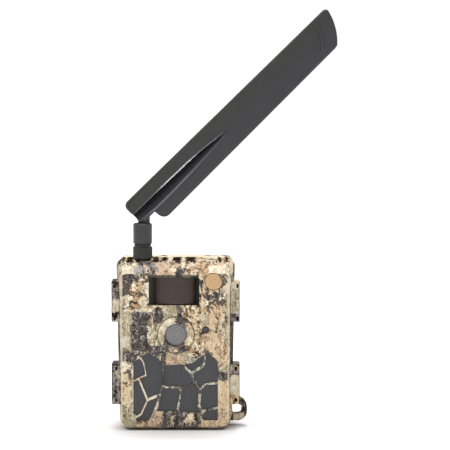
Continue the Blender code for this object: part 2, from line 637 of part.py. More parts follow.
def led_places():
    """The lamps stand in staggered rows behind the window."""
    return [(x + (5.0 if row % 2 else 0.0), 14.0 + row * 10.0)
            for row in range(5) for x in (-32.0, -22.0, -12.0, -2.0, 8.0, 18.0, 28.0)]


def led_board(door):
    board = block("ir_led_board", (-37.0, 37.0), LED_BOARD_Y, (8.0, 68.0))
    lamp_y = (LED_BOARD_Y[0] - 1.6, LED_BOARD_Y[0] + 0.5)
    lamps = [block("lamp", (x - 1.4, x + 1.4), lamp_y, (z - 1.4, z + 1.4)) for x, z in led_places()]
    add(board, *lamps)
    done(board, BOARD_GREEN, door)


def pir_lens(door):
    edge, back, thickness = PIR_HALF_WIDTH, PIR_EDGE_Y + 4.2, 1.1
    inner_edge, inner_y = edge - thickness, PIR_EDGE_Y + 0.6
    outer = bowed((-edge, PIR_EDGE_Y), (edge, PIR_EDGE_Y), PIR_BULGE, 16)
    inner = bowed((-inner_edge, inner_y), (inner_edge, inner_y), PIR_BULGE - 0.5, 16)
    outline = outer + [(edge, back), (inner_edge, back)] + list(reversed(inner))
    outline += [(-inner_edge, back), (-edge, back)]
    lens = prism("pir_lens", outline, "Z", PIR_LOW, PIR_HIGH)
    done(lens, PIR_BROWN, door)


def pir_sensor(door):
    profile = [(0, -37.0), (4.0, -37.0), (4.0, -32.4), (4.7, -32.0), (4.7, -31.0), (1.5, -31.0),
               (1.5, MAIN_BOARD_Y[0] - GAP), (0, MAIN_BOARD_Y[0] - GAP)]
    done(turned("pir_sensor", profile, (PIR_X, 0, PIR_Z), "Y"), STEEL, door)


def lens_parts(door):
    centre = (LENS_X, 0, LENS_Z)
    glass_y = LENS_SEAT_Y
    glass = [(0, glass_y + 0.5)]
    for radius in LENS_STEPS:
        glass += [(radius, glass_y + 0.5), (radius + 0.3, glass_y), (radius + 1.1, glass_y),
                  (radius + 1.4, glass_y + 0.5)]
    glass += [(LENS_GLASS_RADIUS, glass_y + 0.5), (LENS_GLASS_RADIUS, glass_y + 1.5), (0, glass_y + 1.5)]
    done(turned("lens_window", glass, centre, "Y", FINE), LENS_GREY, door)
    front = glass_y + 1.5 + GAP
    baffle = [(LENS_GLASS_RADIUS, front), (LENS_GLASS_RADIUS, front + 3.4), (4.4, front + 3.4),
              (4.4, front + 2.4), (5.8, front + 2.4), (5.8, front + 1.6), (7.2, front + 1.6),
              (7.2, front + 0.8), (8.5, front + 0.8), (8.5, front)]
    done(turned("lens_bezel", baffle, centre, "Y", 30, ring=True), LENS_GREY, door)
    back = CAMERA_BOARD_Y[0] - GAP
    barrel = [(0, front + 3.0), (2.4, front + 2.6), (3.4, front + 2.4), (4.1, front + 2.4),
              (4.1, front + 3.9), (6.6, front + 3.9), (6.6, back - 4.0), (8.2, back - 4.0), (8.2, back),
              (0, back)]
    done(turned("lens_barrel", barrel, centre, "Y"), BLACK_PLASTIC, door)
    board = block("camera_board", (LENS_X - 14, LENS_X + 14), CAMERA_BOARD_Y, (LENS_Z - 13, LENS_Z + 13))
    chip_y = (CAMERA_BOARD_Y[1] - 0.5, CAMERA_BOARD_Y[1] + 0.9)
    chip = block("chip", (LENS_X - 9, LENS_X + 9), chip_y, (LENS_Z - 4, LENS_Z + 4))
    done(add(board, chip), BOARD_GREEN, door)


def light_sensor_window(door):
    profile = [(0, -46.5), (2.3, -46.5), (SENSOR_RADIUS, -46.1), (SENSOR_RADIUS, -43.9), (4.4, -43.9),
               (4.4, -42.9), (0, -42.9)]
    done(turned("light_sensor_window", profile, (SENSOR_X, 0, SENSOR_Z), "Y"), SMOKED_ACRYLIC, door)


# Antenna -------------------------------------------------------------------------------------

def antenna_socket(door):
    profile = [(0, 138.4), (1.8, 138.4), (1.8, 141.4), (5.0, 141.4), (5.0, 144.1), (3.2, 144.1),
               (3.2, 152.0), (2.7, 152.6), (1.9, 152.6), (1.9, 149.6), (0, 149.6)]
    done(turned("antenna_socket", profile, (ANTENNA_X, ANTENNA_Y, 0), "Z"), BRASS, door)
    corners = [(ANTENNA_X, ANTENNA_Y, 138.1), (ANTENNA_X, ANTENNA_Y, 124.0), (ANTENNA_X, -27.4, 115.0),
               (ANTENNA_X, MAIN_BOARD_Y[0] - GAP, 115.0)]
    path = rounded(corners, [0, 4.0, 1.6, 0], 5, closed=False)
    done(wire("antenna_cable", path, 0.9), BLACK_PLASTIC, door)


def antenna_nut(door):
    axis = (ANTENNA_X, ANTENNA_Y, 0)
    angles = [math.pi * k / NUT_RIBS for k in range(2 * NUT_RIBS)]
    rings = []
    for z, radius, depth in ((NUT_LOW, 7.2, 0.0), (NUT_LOW + 1.3, NUT_RADIUS, 0.28),
                             (NUT_HIGH - 2.2, NUT_RADIUS, 0.28), (NUT_HIGH - 1.5, 7.3, 0.0),
                             (NUT_HIGH, 7.3, 0.0)):
        reaches = [radius - depth * (k % 2) for k in range(len(angles))]
        rings.append([(ANTENNA_X + reach * math.cos(a), ANTENNA_Y + reach * math.sin(a), z)
                      for reach, a in zip(reaches, angles)])
    nut = loft("antenna_nut", rings)
    bore = [(3.5, NUT_LOW - 1), (3.5, 153.3), (4.7, 153.3), (4.7, 157.9), (3.3, 157.9), (3.3, NUT_HIGH + 1)]
    cut(nut, turned("bore", bore, axis, "Z"))
    done(nut, ANTENNA_PLASTIC, door, (ANTENNA_X, ANTENNA_Y, NUT_LOW))


def antenna_hub(door):
    profile = [(0, 153.7), (4.3, 153.7), (4.3, 157.3), (3.0, 157.3), (3.0, HUB_LOW), (7.4, HUB_LOW),
               (HUB_RADIUS, HUB_LOW + 1.1), (HUB_RADIUS, HUB_HIGH - 1.2), (7.2, HUB_HIGH), (0, HUB_HIGH)]
    hub = turned("antenna_hub", profile, (ANTENNA_X, ANTENNA_Y, 0), "Z", 32)
    middle = ANTENNA_X + TONGUE_OFFSET
    left, right = middle - TONGUE_HALF_X, middle + TONGUE_HALF_X
    outline = [(left, HUB_HIGH - 1), (right, HUB_HIGH - 1), (right, TILT_Z + TONGUE_HALF_X),
               (left, TILT_Z + TONGUE_HALF_X)]
    round_top = TONGUE_HALF_X - 0.01
    add(hub, prism("tongue", rounded(outline, [0, 0, round_top, round_top], 8), "Y",
                   ANTENNA_Y - TONGUE_HALF_Y, ANTENNA_Y + TONGUE_HALF_Y))
    cut(hub, rod("bore", (ANTENNA_X, 0, TILT_Z), "Y", TILT_PIN_RADIUS + GAP, ANTENNA_Y - 4, ANTENNA_Y + 4))
    swivel = empty("antenna_axis", (ANTENNA_X, ANTENNA_Y, NUT_HIGH), door)
    done(hub, ANTENNA_PLASTIC, swivel)
    return swivel


def paddle_outline():
    """Blade seen from in front while it stands upright, about its pivot."""
    left_tip, right_tip = TIP_ARC_POINTS
    tip = bowed(right_tip, left_tip, TIP_SAGITTA, 10)
    corners = [tip[-1], (PADDLE_TIP_X[0], tip[-1].y + 1.1), (PADDLE_BASE_X[0], -6.0), (-6.4, -6.0),
               (-6.4, 6.8), (6.4, 10.0), (PADDLE_BASE_X[1], 10.8), (PADDLE_TIP_X[1], tip[0].y - 3.0)]
    return rounded(corners, [0, 3.0, 5.0, 1.5, 2.0, 2.0, 7.0, 0], closed=False)[1:] + tip


def channel(side):
    """The tapered channel that runs along the left of one fairing."""
    top, floor = side * (PADDLE_THICKNESS / 2 + 1), side * (PADDLE_THICKNESS / 2 - CHANNEL_DEPTH)
    face = side * PADDLE_THICKNESS / 2
    rings = []
    for u, left in ((-8.0, -6.4), (30.0, -6.0), (62.0, -5.4), (76.0, -4.6), (102.0, -1.6)):
        rings.append([(left - 0.4, top, u), (left, face, u), (left + 1.5, floor, u), (0.4, floor, u),
                      (0.4, top, u)])
    return loft("channel", rings)


def fairing(side):
    """The tapered rib over one face of the blade, whose round end is an ear of the pivot."""
    rings = []
    near = side * (TONGUE_HALF_Y + GAP)
    for u, left, right, crest in ((-BOSS_RADIUS, -1.4, 3.0, 5.4), (-4.6, -2.8, 4.4, 5.9),
                                  (-1.6, -3.4, 5.2, FAIRING_Y), (14.0, -3.2, 5.0, FAIRING_Y),
                                  (60.0, -2.6, 4.0, 5.5), (92.0, -2.0, 2.4, 4.6),
                                  (FAIRING_LENGTH, -0.8, 0.6, 3.7)):
        ridge, rise, width = side * crest, side * crest - near, right - left
        rings.append([(left, near, u), (right, near, u), (right, near + 0.55 * rise, u),
                      (right - 0.38 * width, ridge, u), (left + 0.1 * width, ridge, u),
                      (left, near + 0.75 * rise, u)])
    return loft("fairing", rings)


def antenna_paddle(swivel):
    half = PADDLE_THICKNESS / 2
    edge = [(-half, 1.2), (0.5 - half, 0.45), (1.3 - half, 0.0),
            (half - 1.3, 0.0), (half - 0.5, 0.45), (half, 1.2)]
    outline = paddle_outline()
    blade = loft("antenna_paddle", [[(p.x, y, p.y) for p in inset(outline, margin)] for y, margin in edge])
    skin = sorted((TONGUE_HALF_Y + GAP, half - 0.2))
    for side in (-1, 1):
        cut(blade, channel(side))
        add(blade, block("skin", (-7.4, 1.0), sorted(side * y for y in skin), (-5.4, 9.4)))
        add(blade, fairing(side))
    for start in (217.4, 222.0):
        line = bowed((6.2, start - 8.0), (-8.8, start + 1.5), 1.2, 8)
        back = [(p.x + 0.4, p.y + 0.8) for p in reversed(line)]
        cut(blade, prism("groove", [tuple(p) for p in line] + back, "Y", -half - 1, 0.45 - half))
    cut(blade, rod("bore", (0, 0, 0), "Y", TILT_PIN_RADIUS + GAP, -5.2, 8.0))
    done(blade, ANTENNA_PLASTIC)
    blade.parent = swivel
    blade.location = Vector((ANTENNA_X, ANTENNA_Y, TILT_Z)) * MM - world_place(swivel)
    blade.rotation_euler = (0, REST_TILT, 0)
    pin = rod("tilt_pin", (ANTENNA_X, ANTENNA_Y, TILT_Z), "Y", TILT_PIN_RADIUS, -4.8, FAIRING_Y - 0.3)
    done(pin, STEEL, swivel, (ANTENNA_X, ANTENNA_Y, TILT_Z))


# Inside the front shell ----------------------------------------------------------------------

def inner_panel(door):
    outline = rounded([(-46.0, 3.2), (46.0, 3.2), (47.8, 143.8), (-47.8, 143.8)], [9.0, 9.0, 4.0, 4.0])
    panel = prism("inner_panel", outline, "Y", *PANEL_Y)
    low, high = PANEL_Y[0] - 1, PANEL_Y[1] + 1
    view = rectangle(-DISPLAY_WINDOW_X, DISPLAY_WINDOW_X, *DISPLAY_WINDOW_Z, 1.0)
    tools = [prism("window", view, "Y", low, high)]
    for x, z in key_places().values():
        tools.append(rod("hole", (x, 0, z), "Y", KEY_RADIUS + GAP, low, high))
    slot = (SWITCH_X - SWITCH_TRAVEL / 2 - 2.4, SWITCH_X + SWITCH_TRAVEL / 2 + 2.4)
    tools.append(block("slot", slot, (low, high), (SWITCH_Z - 2.3, SWITCH_Z + 2.3)))
    tools.append(block("card", (-29.5, -14.5), (low, high), (28.0, 32.0)))
    tools.append(block("usb", (-7.0, 3.0), (low, high), (28.0, 32.5)))
    seat = PANEL_Y[1] - 1.2
    screw_hole = [(1.1 + GAP, low), (1.1 + GAP, seat), (2.4 + GAP, seat), (2.4 + GAP, high)]
    tools += [turned("hole", screw_hole, (x, 0, z), "Y", SMALL) for x, z in PANEL_SCREWS.values()]
    cut(panel, *tools)
    done(panel, BLACK_PLASTIC, door)


def key_places():
    return {name: (KEYPAD_X + across * KEYPAD_PITCH, KEYPAD_Z + up * KEYPAD_PITCH)
            for name, (across, up) in BUTTONS.items()}


def panel_screws(door):
    for name, (x, z) in PANEL_SCREWS.items():
        head = PANEL_Y[1] - 0.1
        profile = [(0, -30.0), (0.7, -30.0), (1.1, -29.2), (1.1, head - 0.9), (2.4, head - 0.9),
                   (2.4, head - 0.3), (1.9, head), (0, head)]
        screw = turned(f"panel_screw_{name}", profile, (x, 0, z), "Y", SMALL)
        cut(screw, block("slot", (x - 1.5, x + 1.5), (head - 0.45, head + 1), (z - 0.3, z + 0.3)))
        done(screw, STEEL, door)


def buttons(door):
    for name, (x, z) in key_places().items():
        profile = [(0, -22.4), (KEY_RADIUS - 0.6, -22.4), (KEY_RADIUS - 0.6, -22.0), (KEY_RADIUS, -21.8),
                   (KEY_RADIUS, -18.0), (KEY_RADIUS - 0.7, -17.55), (0, -17.4)]
        done(turned(name, profile, (x, 0, z), "Y", 16), KEY_RUBBER, door, (x, -22.4, z))


def power_switch(door):
    x = SWITCH_X - SWITCH_TRAVEL / 2
    knob = block("power_switch", (x - 2.0, x + 2.0), (-22.6, -17.5), (SWITCH_Z - 1.9, SWITCH_Z + 1.9))
    grooves = [block("groove", (x + k - 0.25, x + k + 0.25), (-17.9, -17.0), (SWITCH_Z - 3, SWITCH_Z + 3))
               for k in (-1.1, 0.0, 1.1)]
    cut(knob, *grooves)
    done(knob, SWITCH_RED, door, (x, -22.6, SWITCH_Z))


def boards_and_sockets(door):
    board = block("main_board", (-38.0, 38.0), MAIN_BOARD_Y, (12.0, 134.0))
    chips = [block("chip", (x0, x1), (MAIN_BOARD_Y[0] - 1.2, MAIN_BOARD_Y[0] + 0.5), (z0, z1))
             for x0, x1, z0, z1 in ((-20, -6, 30, 44), (4, 20, 24, 40), (-30, -22, 52, 60),
                                    (24, 34, 50, 58), (20, 32, 108, 118))]
    add(board, *chips)
    done(board, BOARD_GREEN, door)
    display = block("display", (-DISPLAY_X, DISPLAY_X), DISPLAY_Y, DISPLAY_Z)
    done(soften(display, 0.3), GLASS_DARK, door)
    sockets = {"sd_socket": ((-30.0, -14.0), (26.6, 33.4), (-28.5, -15.5), (29.0, 31.0)),
               "usb_socket": ((-8.0, 4.0), (27.4, 33.0), (-6.4, 2.4), (28.6, 31.8))}
    front, back = MAIN_BOARD_Y[1] + GAP, PANEL_Y[0] - GAP
    for name, (x_range, z_range, mouth_x, mouth_z) in sockets.items():
        shell = block(name, x_range, (front, back), z_range)
        cut(shell, block("mouth", mouth_x, (front + 0.7, back + 1), mouth_z))
        done(shell, STEEL, door)
    sim = block("sim_socket", (-34.0, -20.0), (front, front + 1.6), (68.0, 82.0))
    cut(sim, block("mouth", (-33.0, -21.0), (front + 0.5, front + 1.2), (69.0, 90.0)))
    done(sim, STEEL, door)
    can = [(0, front), (7.0, front), (7.0, front + 2.2), (5.8, front + 2.8), (0, front + 2.8)]
    done(turned("speaker", can, (20.0, 0, 29.0), "Y"), BLACK_PLASTIC, door)


# Inside the rear shell -----------------------------------------------------------------------

def battery_tray():
    """Two bays, each for four upright cells that lie between low ribs."""
    tray = block("battery_tray", (-TRAY_HALF_X, TRAY_HALF_X), TRAY_Y, TRAY_Z)
    ears = block("ears", (-TRAY_EAR_HALF_X, TRAY_EAR_HALF_X), (TRAY_Y[1] - 3.0, TRAY_Y[1]), TRAY_EAR_Z)
    add(tray, ears)
    floor = TRAY_Y[1] - TRAY_FLOOR
    bay_x = (-BAY_HALF_X, BAY_HALF_X)
    for centre in CELL_ROWS.values():
        half = CELL_LENGTH / 2
        ends = (centre - half, centre + half)
        cut(tray, block("bay", bay_x, (TRAY_Y[0] - 1, floor), ends))
        cut(tray, *[block("slot", bay_x, (-9.6, floor), (z - 1.2, z + 1.2)) for z in ends])
        ribs = []
        for x in (-CELL_PITCH, 0.0, CELL_PITCH):
            section = [(x - 1.6, floor + 0.5), (x + 1.6, floor + 0.5), (x + 0.3, floor - RIB_HEIGHT),
                       (x - 0.3, floor - RIB_HEIGHT)]
            ribs.append(prism("rib", section, "Z", ends[0] + 3, ends[1] - 3))
        add(tray, *ribs)
    cut(tray, *[rod("hole", (x, 0, TRAY_SCREW_Z), "Y", 1.1 + GAP, TRAY_Y[0] - 1, TRAY_Y[1] + 1, SMALL)
                for x in TRAY_SCREWS.values()])
    done(tray, BLACK_PLASTIC)
    for side, x in TRAY_SCREWS.items():
        seat = TRAY_Y[1] - 3.0 - GAP
        profile = [(0, 12.6), (0.7, 12.6), (1.1, 11.8), (1.1, seat), (2.6, seat), (2.6, seat - 1.6),
                   (0, seat - 1.6)]
        done(turned(f"tray_screw_{side}", profile, (x, 0, TRAY_SCREW_Z), "Y", SMALL), STEEL)


def contacts():
    """Strips at both ends of each row of cells: flat ones above, ones with spring leaves below."""
    for row, centre in CELL_ROWS.items():
        for end, side in (("lower", -1), ("upper", 1)):
            face = centre + side * (CELL_LENGTH / 2 + 0.8)
            span = sorted((face, face - side * CONTACT_THICKNESS))
            depth = (-9.2, TRAY_Y[1] - TRAY_FLOOR - GAP)
            strip = block(f"contact_{row}_row_{end}", (-30.6, 30.6), depth, span)
            if side < 0:
                for column in CELL_COLUMNS:
                    middle = column * CELL_PITCH
                    leaf = [(-8.4, face + 0.1), (-8.4, face + 0.6), (-3.0, face + 3.4), (1.6, face + 1.4),
                            (1.6, face + 0.9), (-3.0, face + 2.8), (-7.4, face + 0.1)]
                    add(strip, prism("leaf", leaf, "X", middle - 2.5, middle + 2.5))
            done(strip, STEEL)


def tripod_insert():
    profile = [(TRIPOD_RADIUS, 0.3), (TRIPOD_RADIUS, 9.3), (TRIPOD_BORE, 9.3), (TRIPOD_BORE, 0.3)]
    done(turned("tripod_insert", profile, (0, TRIPOD_Y, 0), "Z", ring=True), BRASS)


def dc_parts():
    centre = (0, JACK_Y, JACK_Z)
    body = [(0, -36.0), (5.6, -36.0), (5.6, -45.2), (4.0, -45.2), (4.0, -47.6), (3.0, -47.6),
            (3.0, -39.0), (0, -39.0)]
    done(turned("dc_jack", body, centre, "X"), BLACK_PLASTIC)
    hinge_z = JACK_Z - 10.0
    cap_outline = rectangle(JACK_Y - 6.0, JACK_Y + 6.0, JACK_Z - 7.0, JACK_Z + 7.0, 4.0, 5)
    cap = prism("dc_cap", cap_outline, "X", -50.9, -49.7)
    tether_y = (JACK_Y - 1.8, JACK_Y + 1.8)
    add(cap, block("tether", (-50.6, -49.9), tether_y, (hinge_z - 0.9, JACK_Z - 6.0)))
    add(cap, block("anchor", (-50.2, -48.3), tether_y, (hinge_z - 0.9, hinge_z + 0.4)))
    add(cap, turned("plug", [(3.9, -50.1), (3.9, -48.0), (3.2, -48.0), (3.2, -50.1)], centre, "X", ring=True))
    done(cap, RUBBER_BLACK, origin=(-49.6, JACK_Y, hinge_z))


def tree_bracket():
    low, high = BRACKET_Z
    plate_y = REAR_Y + GAP
    outline = rectangle(-BRACKET_HALF_X, BRACKET_HALF_X, low, high, 3.0)
    bracket = prism("tree_bracket", outline, "Y", plate_y, plate_y + BRACKET_PLATE)
    pitch = (high - low) / BRACKET_TEETH
    profile = [(plate_y + 1, low + 1), (BRACKET_FLANGE_Y - BRACKET_TOOTH_DEPTH, low + 1)]
    for tooth in range(BRACKET_TEETH):
        root = low + (tooth + 1) * pitch
        profile.append((BRACKET_FLANGE_Y, root - pitch / 2))
        profile.append((BRACKET_FLANGE_Y - BRACKET_TOOTH_DEPTH, min(root, high - 1)))
    profile.append((plate_y + 1, high - 1))
    outer, inner = BRACKET_HALF_X, BRACKET_HALF_X - BRACKET_FLANGE
    add(bracket, *[prism("flange", profile, "X", *span) for span in ((-outer, -inner), (inner, outer))])
    holes = [rod("hole", (0, 0, z), "Y", 1.6 + GAP, REAR_Y - 1, 22) for z in BRACKET_SCREWS.values()]
    cut(bracket, block("strap", (-40, 40), STRAP_SLOT_Y, STRAP_SLOT_Z), *holes)
    done(bracket, CAMO_PLASTIC)
    head = plate_y + BRACKET_PLATE + GAP
    for name, z in BRACKET_SCREWS.items():
        profile = [(0, 9.0), (1.0, 9.0), (1.6, 10.0), (1.6, head), (3.4, head), (3.4, head + 1.4),
                   (2.4, head + 2.2), (0, head + 2.2)]
        screw = turned(f"bracket_screw_{name}", profile, (0, 0, z), "Y", 14)
        cut(screw, block("slot", (-2.2, 2.2), (head + 1.4, head + 4), (z - 0.4, z + 0.4)))
        done(screw, STEEL)


def main():
    for old in list(bpy.data.objects):
        bpy.data.objects.remove(old)
    door = empty("door_axis", (HINGE_X, SEAM_Y, 0))
    rear_case()
    gasket()
    hinge_pins()
    latch("upper")
    latch("lower")
    tree_bracket()
    battery_tray()
    contacts()
    tripod_insert()
    dc_parts()
    front_case(door)
    ir_window(door)
    led_board(door)
    pir_lens(door)
    pir_sensor(door)
    lens_parts(door)
    light_sensor_window(door)
    inner_panel(door)
    panel_screws(door)
    buttons(door)
    power_switch(door)
    boards_and_sockets(door)
    antenna_socket(door)
    antenna_nut(door)
    antenna_paddle(antenna_hub(door))


main()
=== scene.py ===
"""Looks of the trail camera: rounded copies of the CAD nodes, procedural finishes, studio and camera."""

import json
import math

import bmesh
import bpy
from mathutils import Matrix, Vector


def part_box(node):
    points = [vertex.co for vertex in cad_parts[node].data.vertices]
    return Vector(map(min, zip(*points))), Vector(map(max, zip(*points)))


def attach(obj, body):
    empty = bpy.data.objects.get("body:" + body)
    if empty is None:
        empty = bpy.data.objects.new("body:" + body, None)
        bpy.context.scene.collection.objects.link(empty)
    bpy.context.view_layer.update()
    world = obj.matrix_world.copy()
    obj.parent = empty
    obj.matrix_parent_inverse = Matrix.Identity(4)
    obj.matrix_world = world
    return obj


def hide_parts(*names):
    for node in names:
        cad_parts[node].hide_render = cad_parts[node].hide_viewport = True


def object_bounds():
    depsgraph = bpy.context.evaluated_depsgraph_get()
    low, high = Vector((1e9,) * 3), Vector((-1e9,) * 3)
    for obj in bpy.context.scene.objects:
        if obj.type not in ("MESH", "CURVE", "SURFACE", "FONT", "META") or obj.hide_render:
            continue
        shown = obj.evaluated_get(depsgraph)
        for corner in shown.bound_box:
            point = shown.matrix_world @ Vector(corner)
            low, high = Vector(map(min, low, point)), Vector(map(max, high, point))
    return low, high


MM = 0.001

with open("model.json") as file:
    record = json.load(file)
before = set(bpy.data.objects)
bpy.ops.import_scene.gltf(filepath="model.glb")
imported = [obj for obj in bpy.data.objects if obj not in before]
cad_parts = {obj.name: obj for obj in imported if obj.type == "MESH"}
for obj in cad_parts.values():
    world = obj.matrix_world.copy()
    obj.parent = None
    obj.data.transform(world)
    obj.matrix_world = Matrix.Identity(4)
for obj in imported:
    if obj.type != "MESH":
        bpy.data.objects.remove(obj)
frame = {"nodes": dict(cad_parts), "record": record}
cad_low, cad_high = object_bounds()
record = frame["record"]
BODY_OF = {node: body for body, nodes in record["behaviour"]["bodies"].items() for node in nodes}
SLOT_OF = {row["node"]: row["material_slot"] for row in record["subparts"]}


def middle_of(node):
    """The middle of a CAD node's box at rest, in millimetres."""
    low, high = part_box(node)
    return (low + high) / 2 / MM


def high_corner(node):
    """The highest corner of a CAD node's box at rest, in millimetres."""
    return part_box(node)[1] / MM


# Material graphs -----------------------------------------------------------------------------

def linear(red, green, blue):
    """A screen colour of 0 to 255 as the linear colour that shaders take."""
    channels = [value / 255 for value in (red, green, blue)]
    return (*[c / 12.92 if c <= 0.04045 else ((c + 0.055) / 1.055) ** 2.4 for c in channels], 1.0)


class Nodes:
    """A node tree whose calls add nodes and give back the last one's output."""

    def __init__(self, tree):
        self.tree = tree

    def feed(self, socket, value):
        if isinstance(value, bpy.types.NodeSocket):
            self.tree.links.new(value, socket)
        else:
            socket.default_value = value

    def node(self, kind, inputs, output=0, **settings):
        node = self.tree.nodes.new("ShaderNode" + kind)
        for label, value in settings.items():
            setattr(node, label, value)
        for label, value in inputs.items():
            self.feed(node.inputs[label], value)
        return node.outputs[output]

    def vector(self, operation, a, b=None, scale=None):
        inputs = {0: a}
        if b is not None:
            inputs[1] = b
        if scale is not None:
            inputs["Scale"] = scale
        output = "Value" if operation in ("LENGTH", "DOT_PRODUCT", "DISTANCE") else "Vector"
        return self.node("VectorMath", inputs, output, operation=operation)

    def math(self, operation, a, b=0.0, c=0.0):
        return self.node("Math", {0: a, 1: b, 2: c}, operation=operation)

    def above(self, value, limit):
        return self.math("GREATER_THAN", value, limit)

    def below(self, value, limit):
        return self.math("LESS_THAN", value, limit)

    def within(self, value, low, high):
        return self.math("COMPARE", value, (low + high) / 2, (high - low) / 2)

    def both(self, a, b):
        """Where two masks meet."""
        return self.math("MULTIPLY", a, b)

    def either(self, a, b):
        """Where at least one of two masks is."""
        return self.math("MAXIMUM", a, b)

    def choose(self, test, otherwise, when_true):
        """One of two numbers, by a test that is 0 or 1."""
        return self.node("Mix", {0: test, 2: otherwise, 3: when_true}, data_type="FLOAT")

    def noise(self, place, scale, detail=2.0, roughness=0.5, output="Fac"):
        inputs = {"Vector": place, "Scale": scale, "Detail": detail, "Roughness": roughness}
        return self.node("TexNoise", inputs, output)

    def voronoi(self, place, scale, feature="F1", output="Distance", randomness=1.0):
        inputs = {"Vector": place, "Scale": scale, "Randomness": randomness}
        return self.node("TexVoronoi", inputs, output, feature=feature)

    def span(self, value, low, high, to_low=0.0, to_high=1.0, smooth=True):
        """A value taken from one range to another, and held at its ends."""
        inputs = {"Value": value, "From Min": low, "From Max": high, "To Min": to_low, "To Max": to_high}
        return self.node("MapRange", inputs, interpolation_type="SMOOTHSTEP" if smooth else "LINEAR")

    def mix(self, share, a, b):
        node = self.tree.nodes.new("ShaderNodeMix")
        node.data_type = "RGBA"
        self.feed(node.inputs["Factor"], share)
        colours = [socket for socket in node.inputs if socket.type == "RGBA"]
        self.feed(colours[0], a)
        self.feed(colours[1], b)
        return [socket for socket in node.outputs if socket.type == "RGBA"][0]

    def ramp(self, value, stops):
        node = self.tree.nodes.new("ShaderNodeValToRGB")
        stop_list = node.color_ramp.elements
        while len(stop_list) < len(stops):
            stop_list.new(0.5)
        for element, (position, colour) in zip(stop_list, stops):
            element.position = position
            element.color = colour
        self.feed(node.inputs["Fac"], value)
        return node.outputs["Color"]

    def placed(self, place, at=(0, 0, 0), turn=(0, 0, 0), size=(1, 1, 1)):
        """The place seen from a frame at a point, turned and sized."""
        angles = [math.radians(a) for a in turn]
        inputs = {"Vector": place, "Location": at, "Rotation": angles, "Scale": size}
        return self.node("Mapping", inputs, vector_type="TEXTURE")

    def parts(self, vector):
        node = self.tree.nodes.new("ShaderNodeSeparateXYZ")
        self.feed(node.inputs[0], vector)
        return node.outputs

    def bump(self, height, distance_mm, strength):
        return self.node("Bump", {"Height": height, "Distance": distance_mm * MM, "Strength": strength})

    def from_axis(self, place, node):
        """The distance from the line along Y through the middle of a CAD node."""
        middle = middle_of(node)
        return self.from_line(place, middle.x, middle.z)

    def from_line(self, place, x, z):
        """The distance from the line along Y through x and z. Y itself counts for next to nothing."""
        return self.vector("LENGTH", self.placed(place, (x, 0, z), size=(1, 1000, 1)))


class Graph(Nodes):
    """The node tree of a material, with self.place as the place in millimetres."""

    def __init__(self, name, roughness=0.5, **constants):
        self.material = bpy.data.materials.new(name)
        self.material.use_nodes = True
        super().__init__(self.material.node_tree)
        self.shader = self.tree.nodes["Principled BSDF"]
        self.set(Roughness=roughness)
        for label, value in constants.items():
            self.shader.inputs[label.replace("_", " ")].default_value = value
        self.place = self.vector("SCALE", self.node("TexCoord", {}, "Object"), scale=1 / MM)

    def set(self, **inputs):
        for label, value in inputs.items():
            self.feed(self.shader.inputs[label.replace("_", " ")], value)


# Camouflage ----------------------------------------------------------------------------------

CREAM, PALE = linear(230, 214, 184), linear(250, 238, 212)
OLIVE, SAGE = linear(186, 175, 142), linear(128, 120, 90)
TAN, ORANGE = linear(224, 194, 154), linear(204, 166, 120)
PINK, ROSE = linear(234, 206, 174), linear(204, 172, 144)
BROWN, DARK, BLACK = linear(108, 84, 62), linear(58, 46, 38), linear(30, 25, 22)
CHARCOAL, SLATE = linear(78, 71, 70), linear(118, 110, 108)
SILVER, CHALK = linear(178, 170, 166), linear(222, 212, 198)
MOSS, LICHEN = linear(168, 168, 148), linear(216, 212, 190)
# The last colour is painted shade for the sensor's pocket and the brow above it
SOOT, POCKET_SHADE = linear(12, 10, 9), linear(30, 33, 27)

MOTIFS = ["bark", "streak", "speckle", "leaf", "wood", "pink", "grey", "olive", "cream", "web", "black",
          "stone"]

# Motifs of the cells outside the patches, each from a number of 0 to 1 upwards. Below the first it is bark.
CELL_MOTIFS = [(0.24, "streak"), (0.44, "speckle"), (0.62, "leaf"), (0.76, "wood"), (0.88, "pink")]

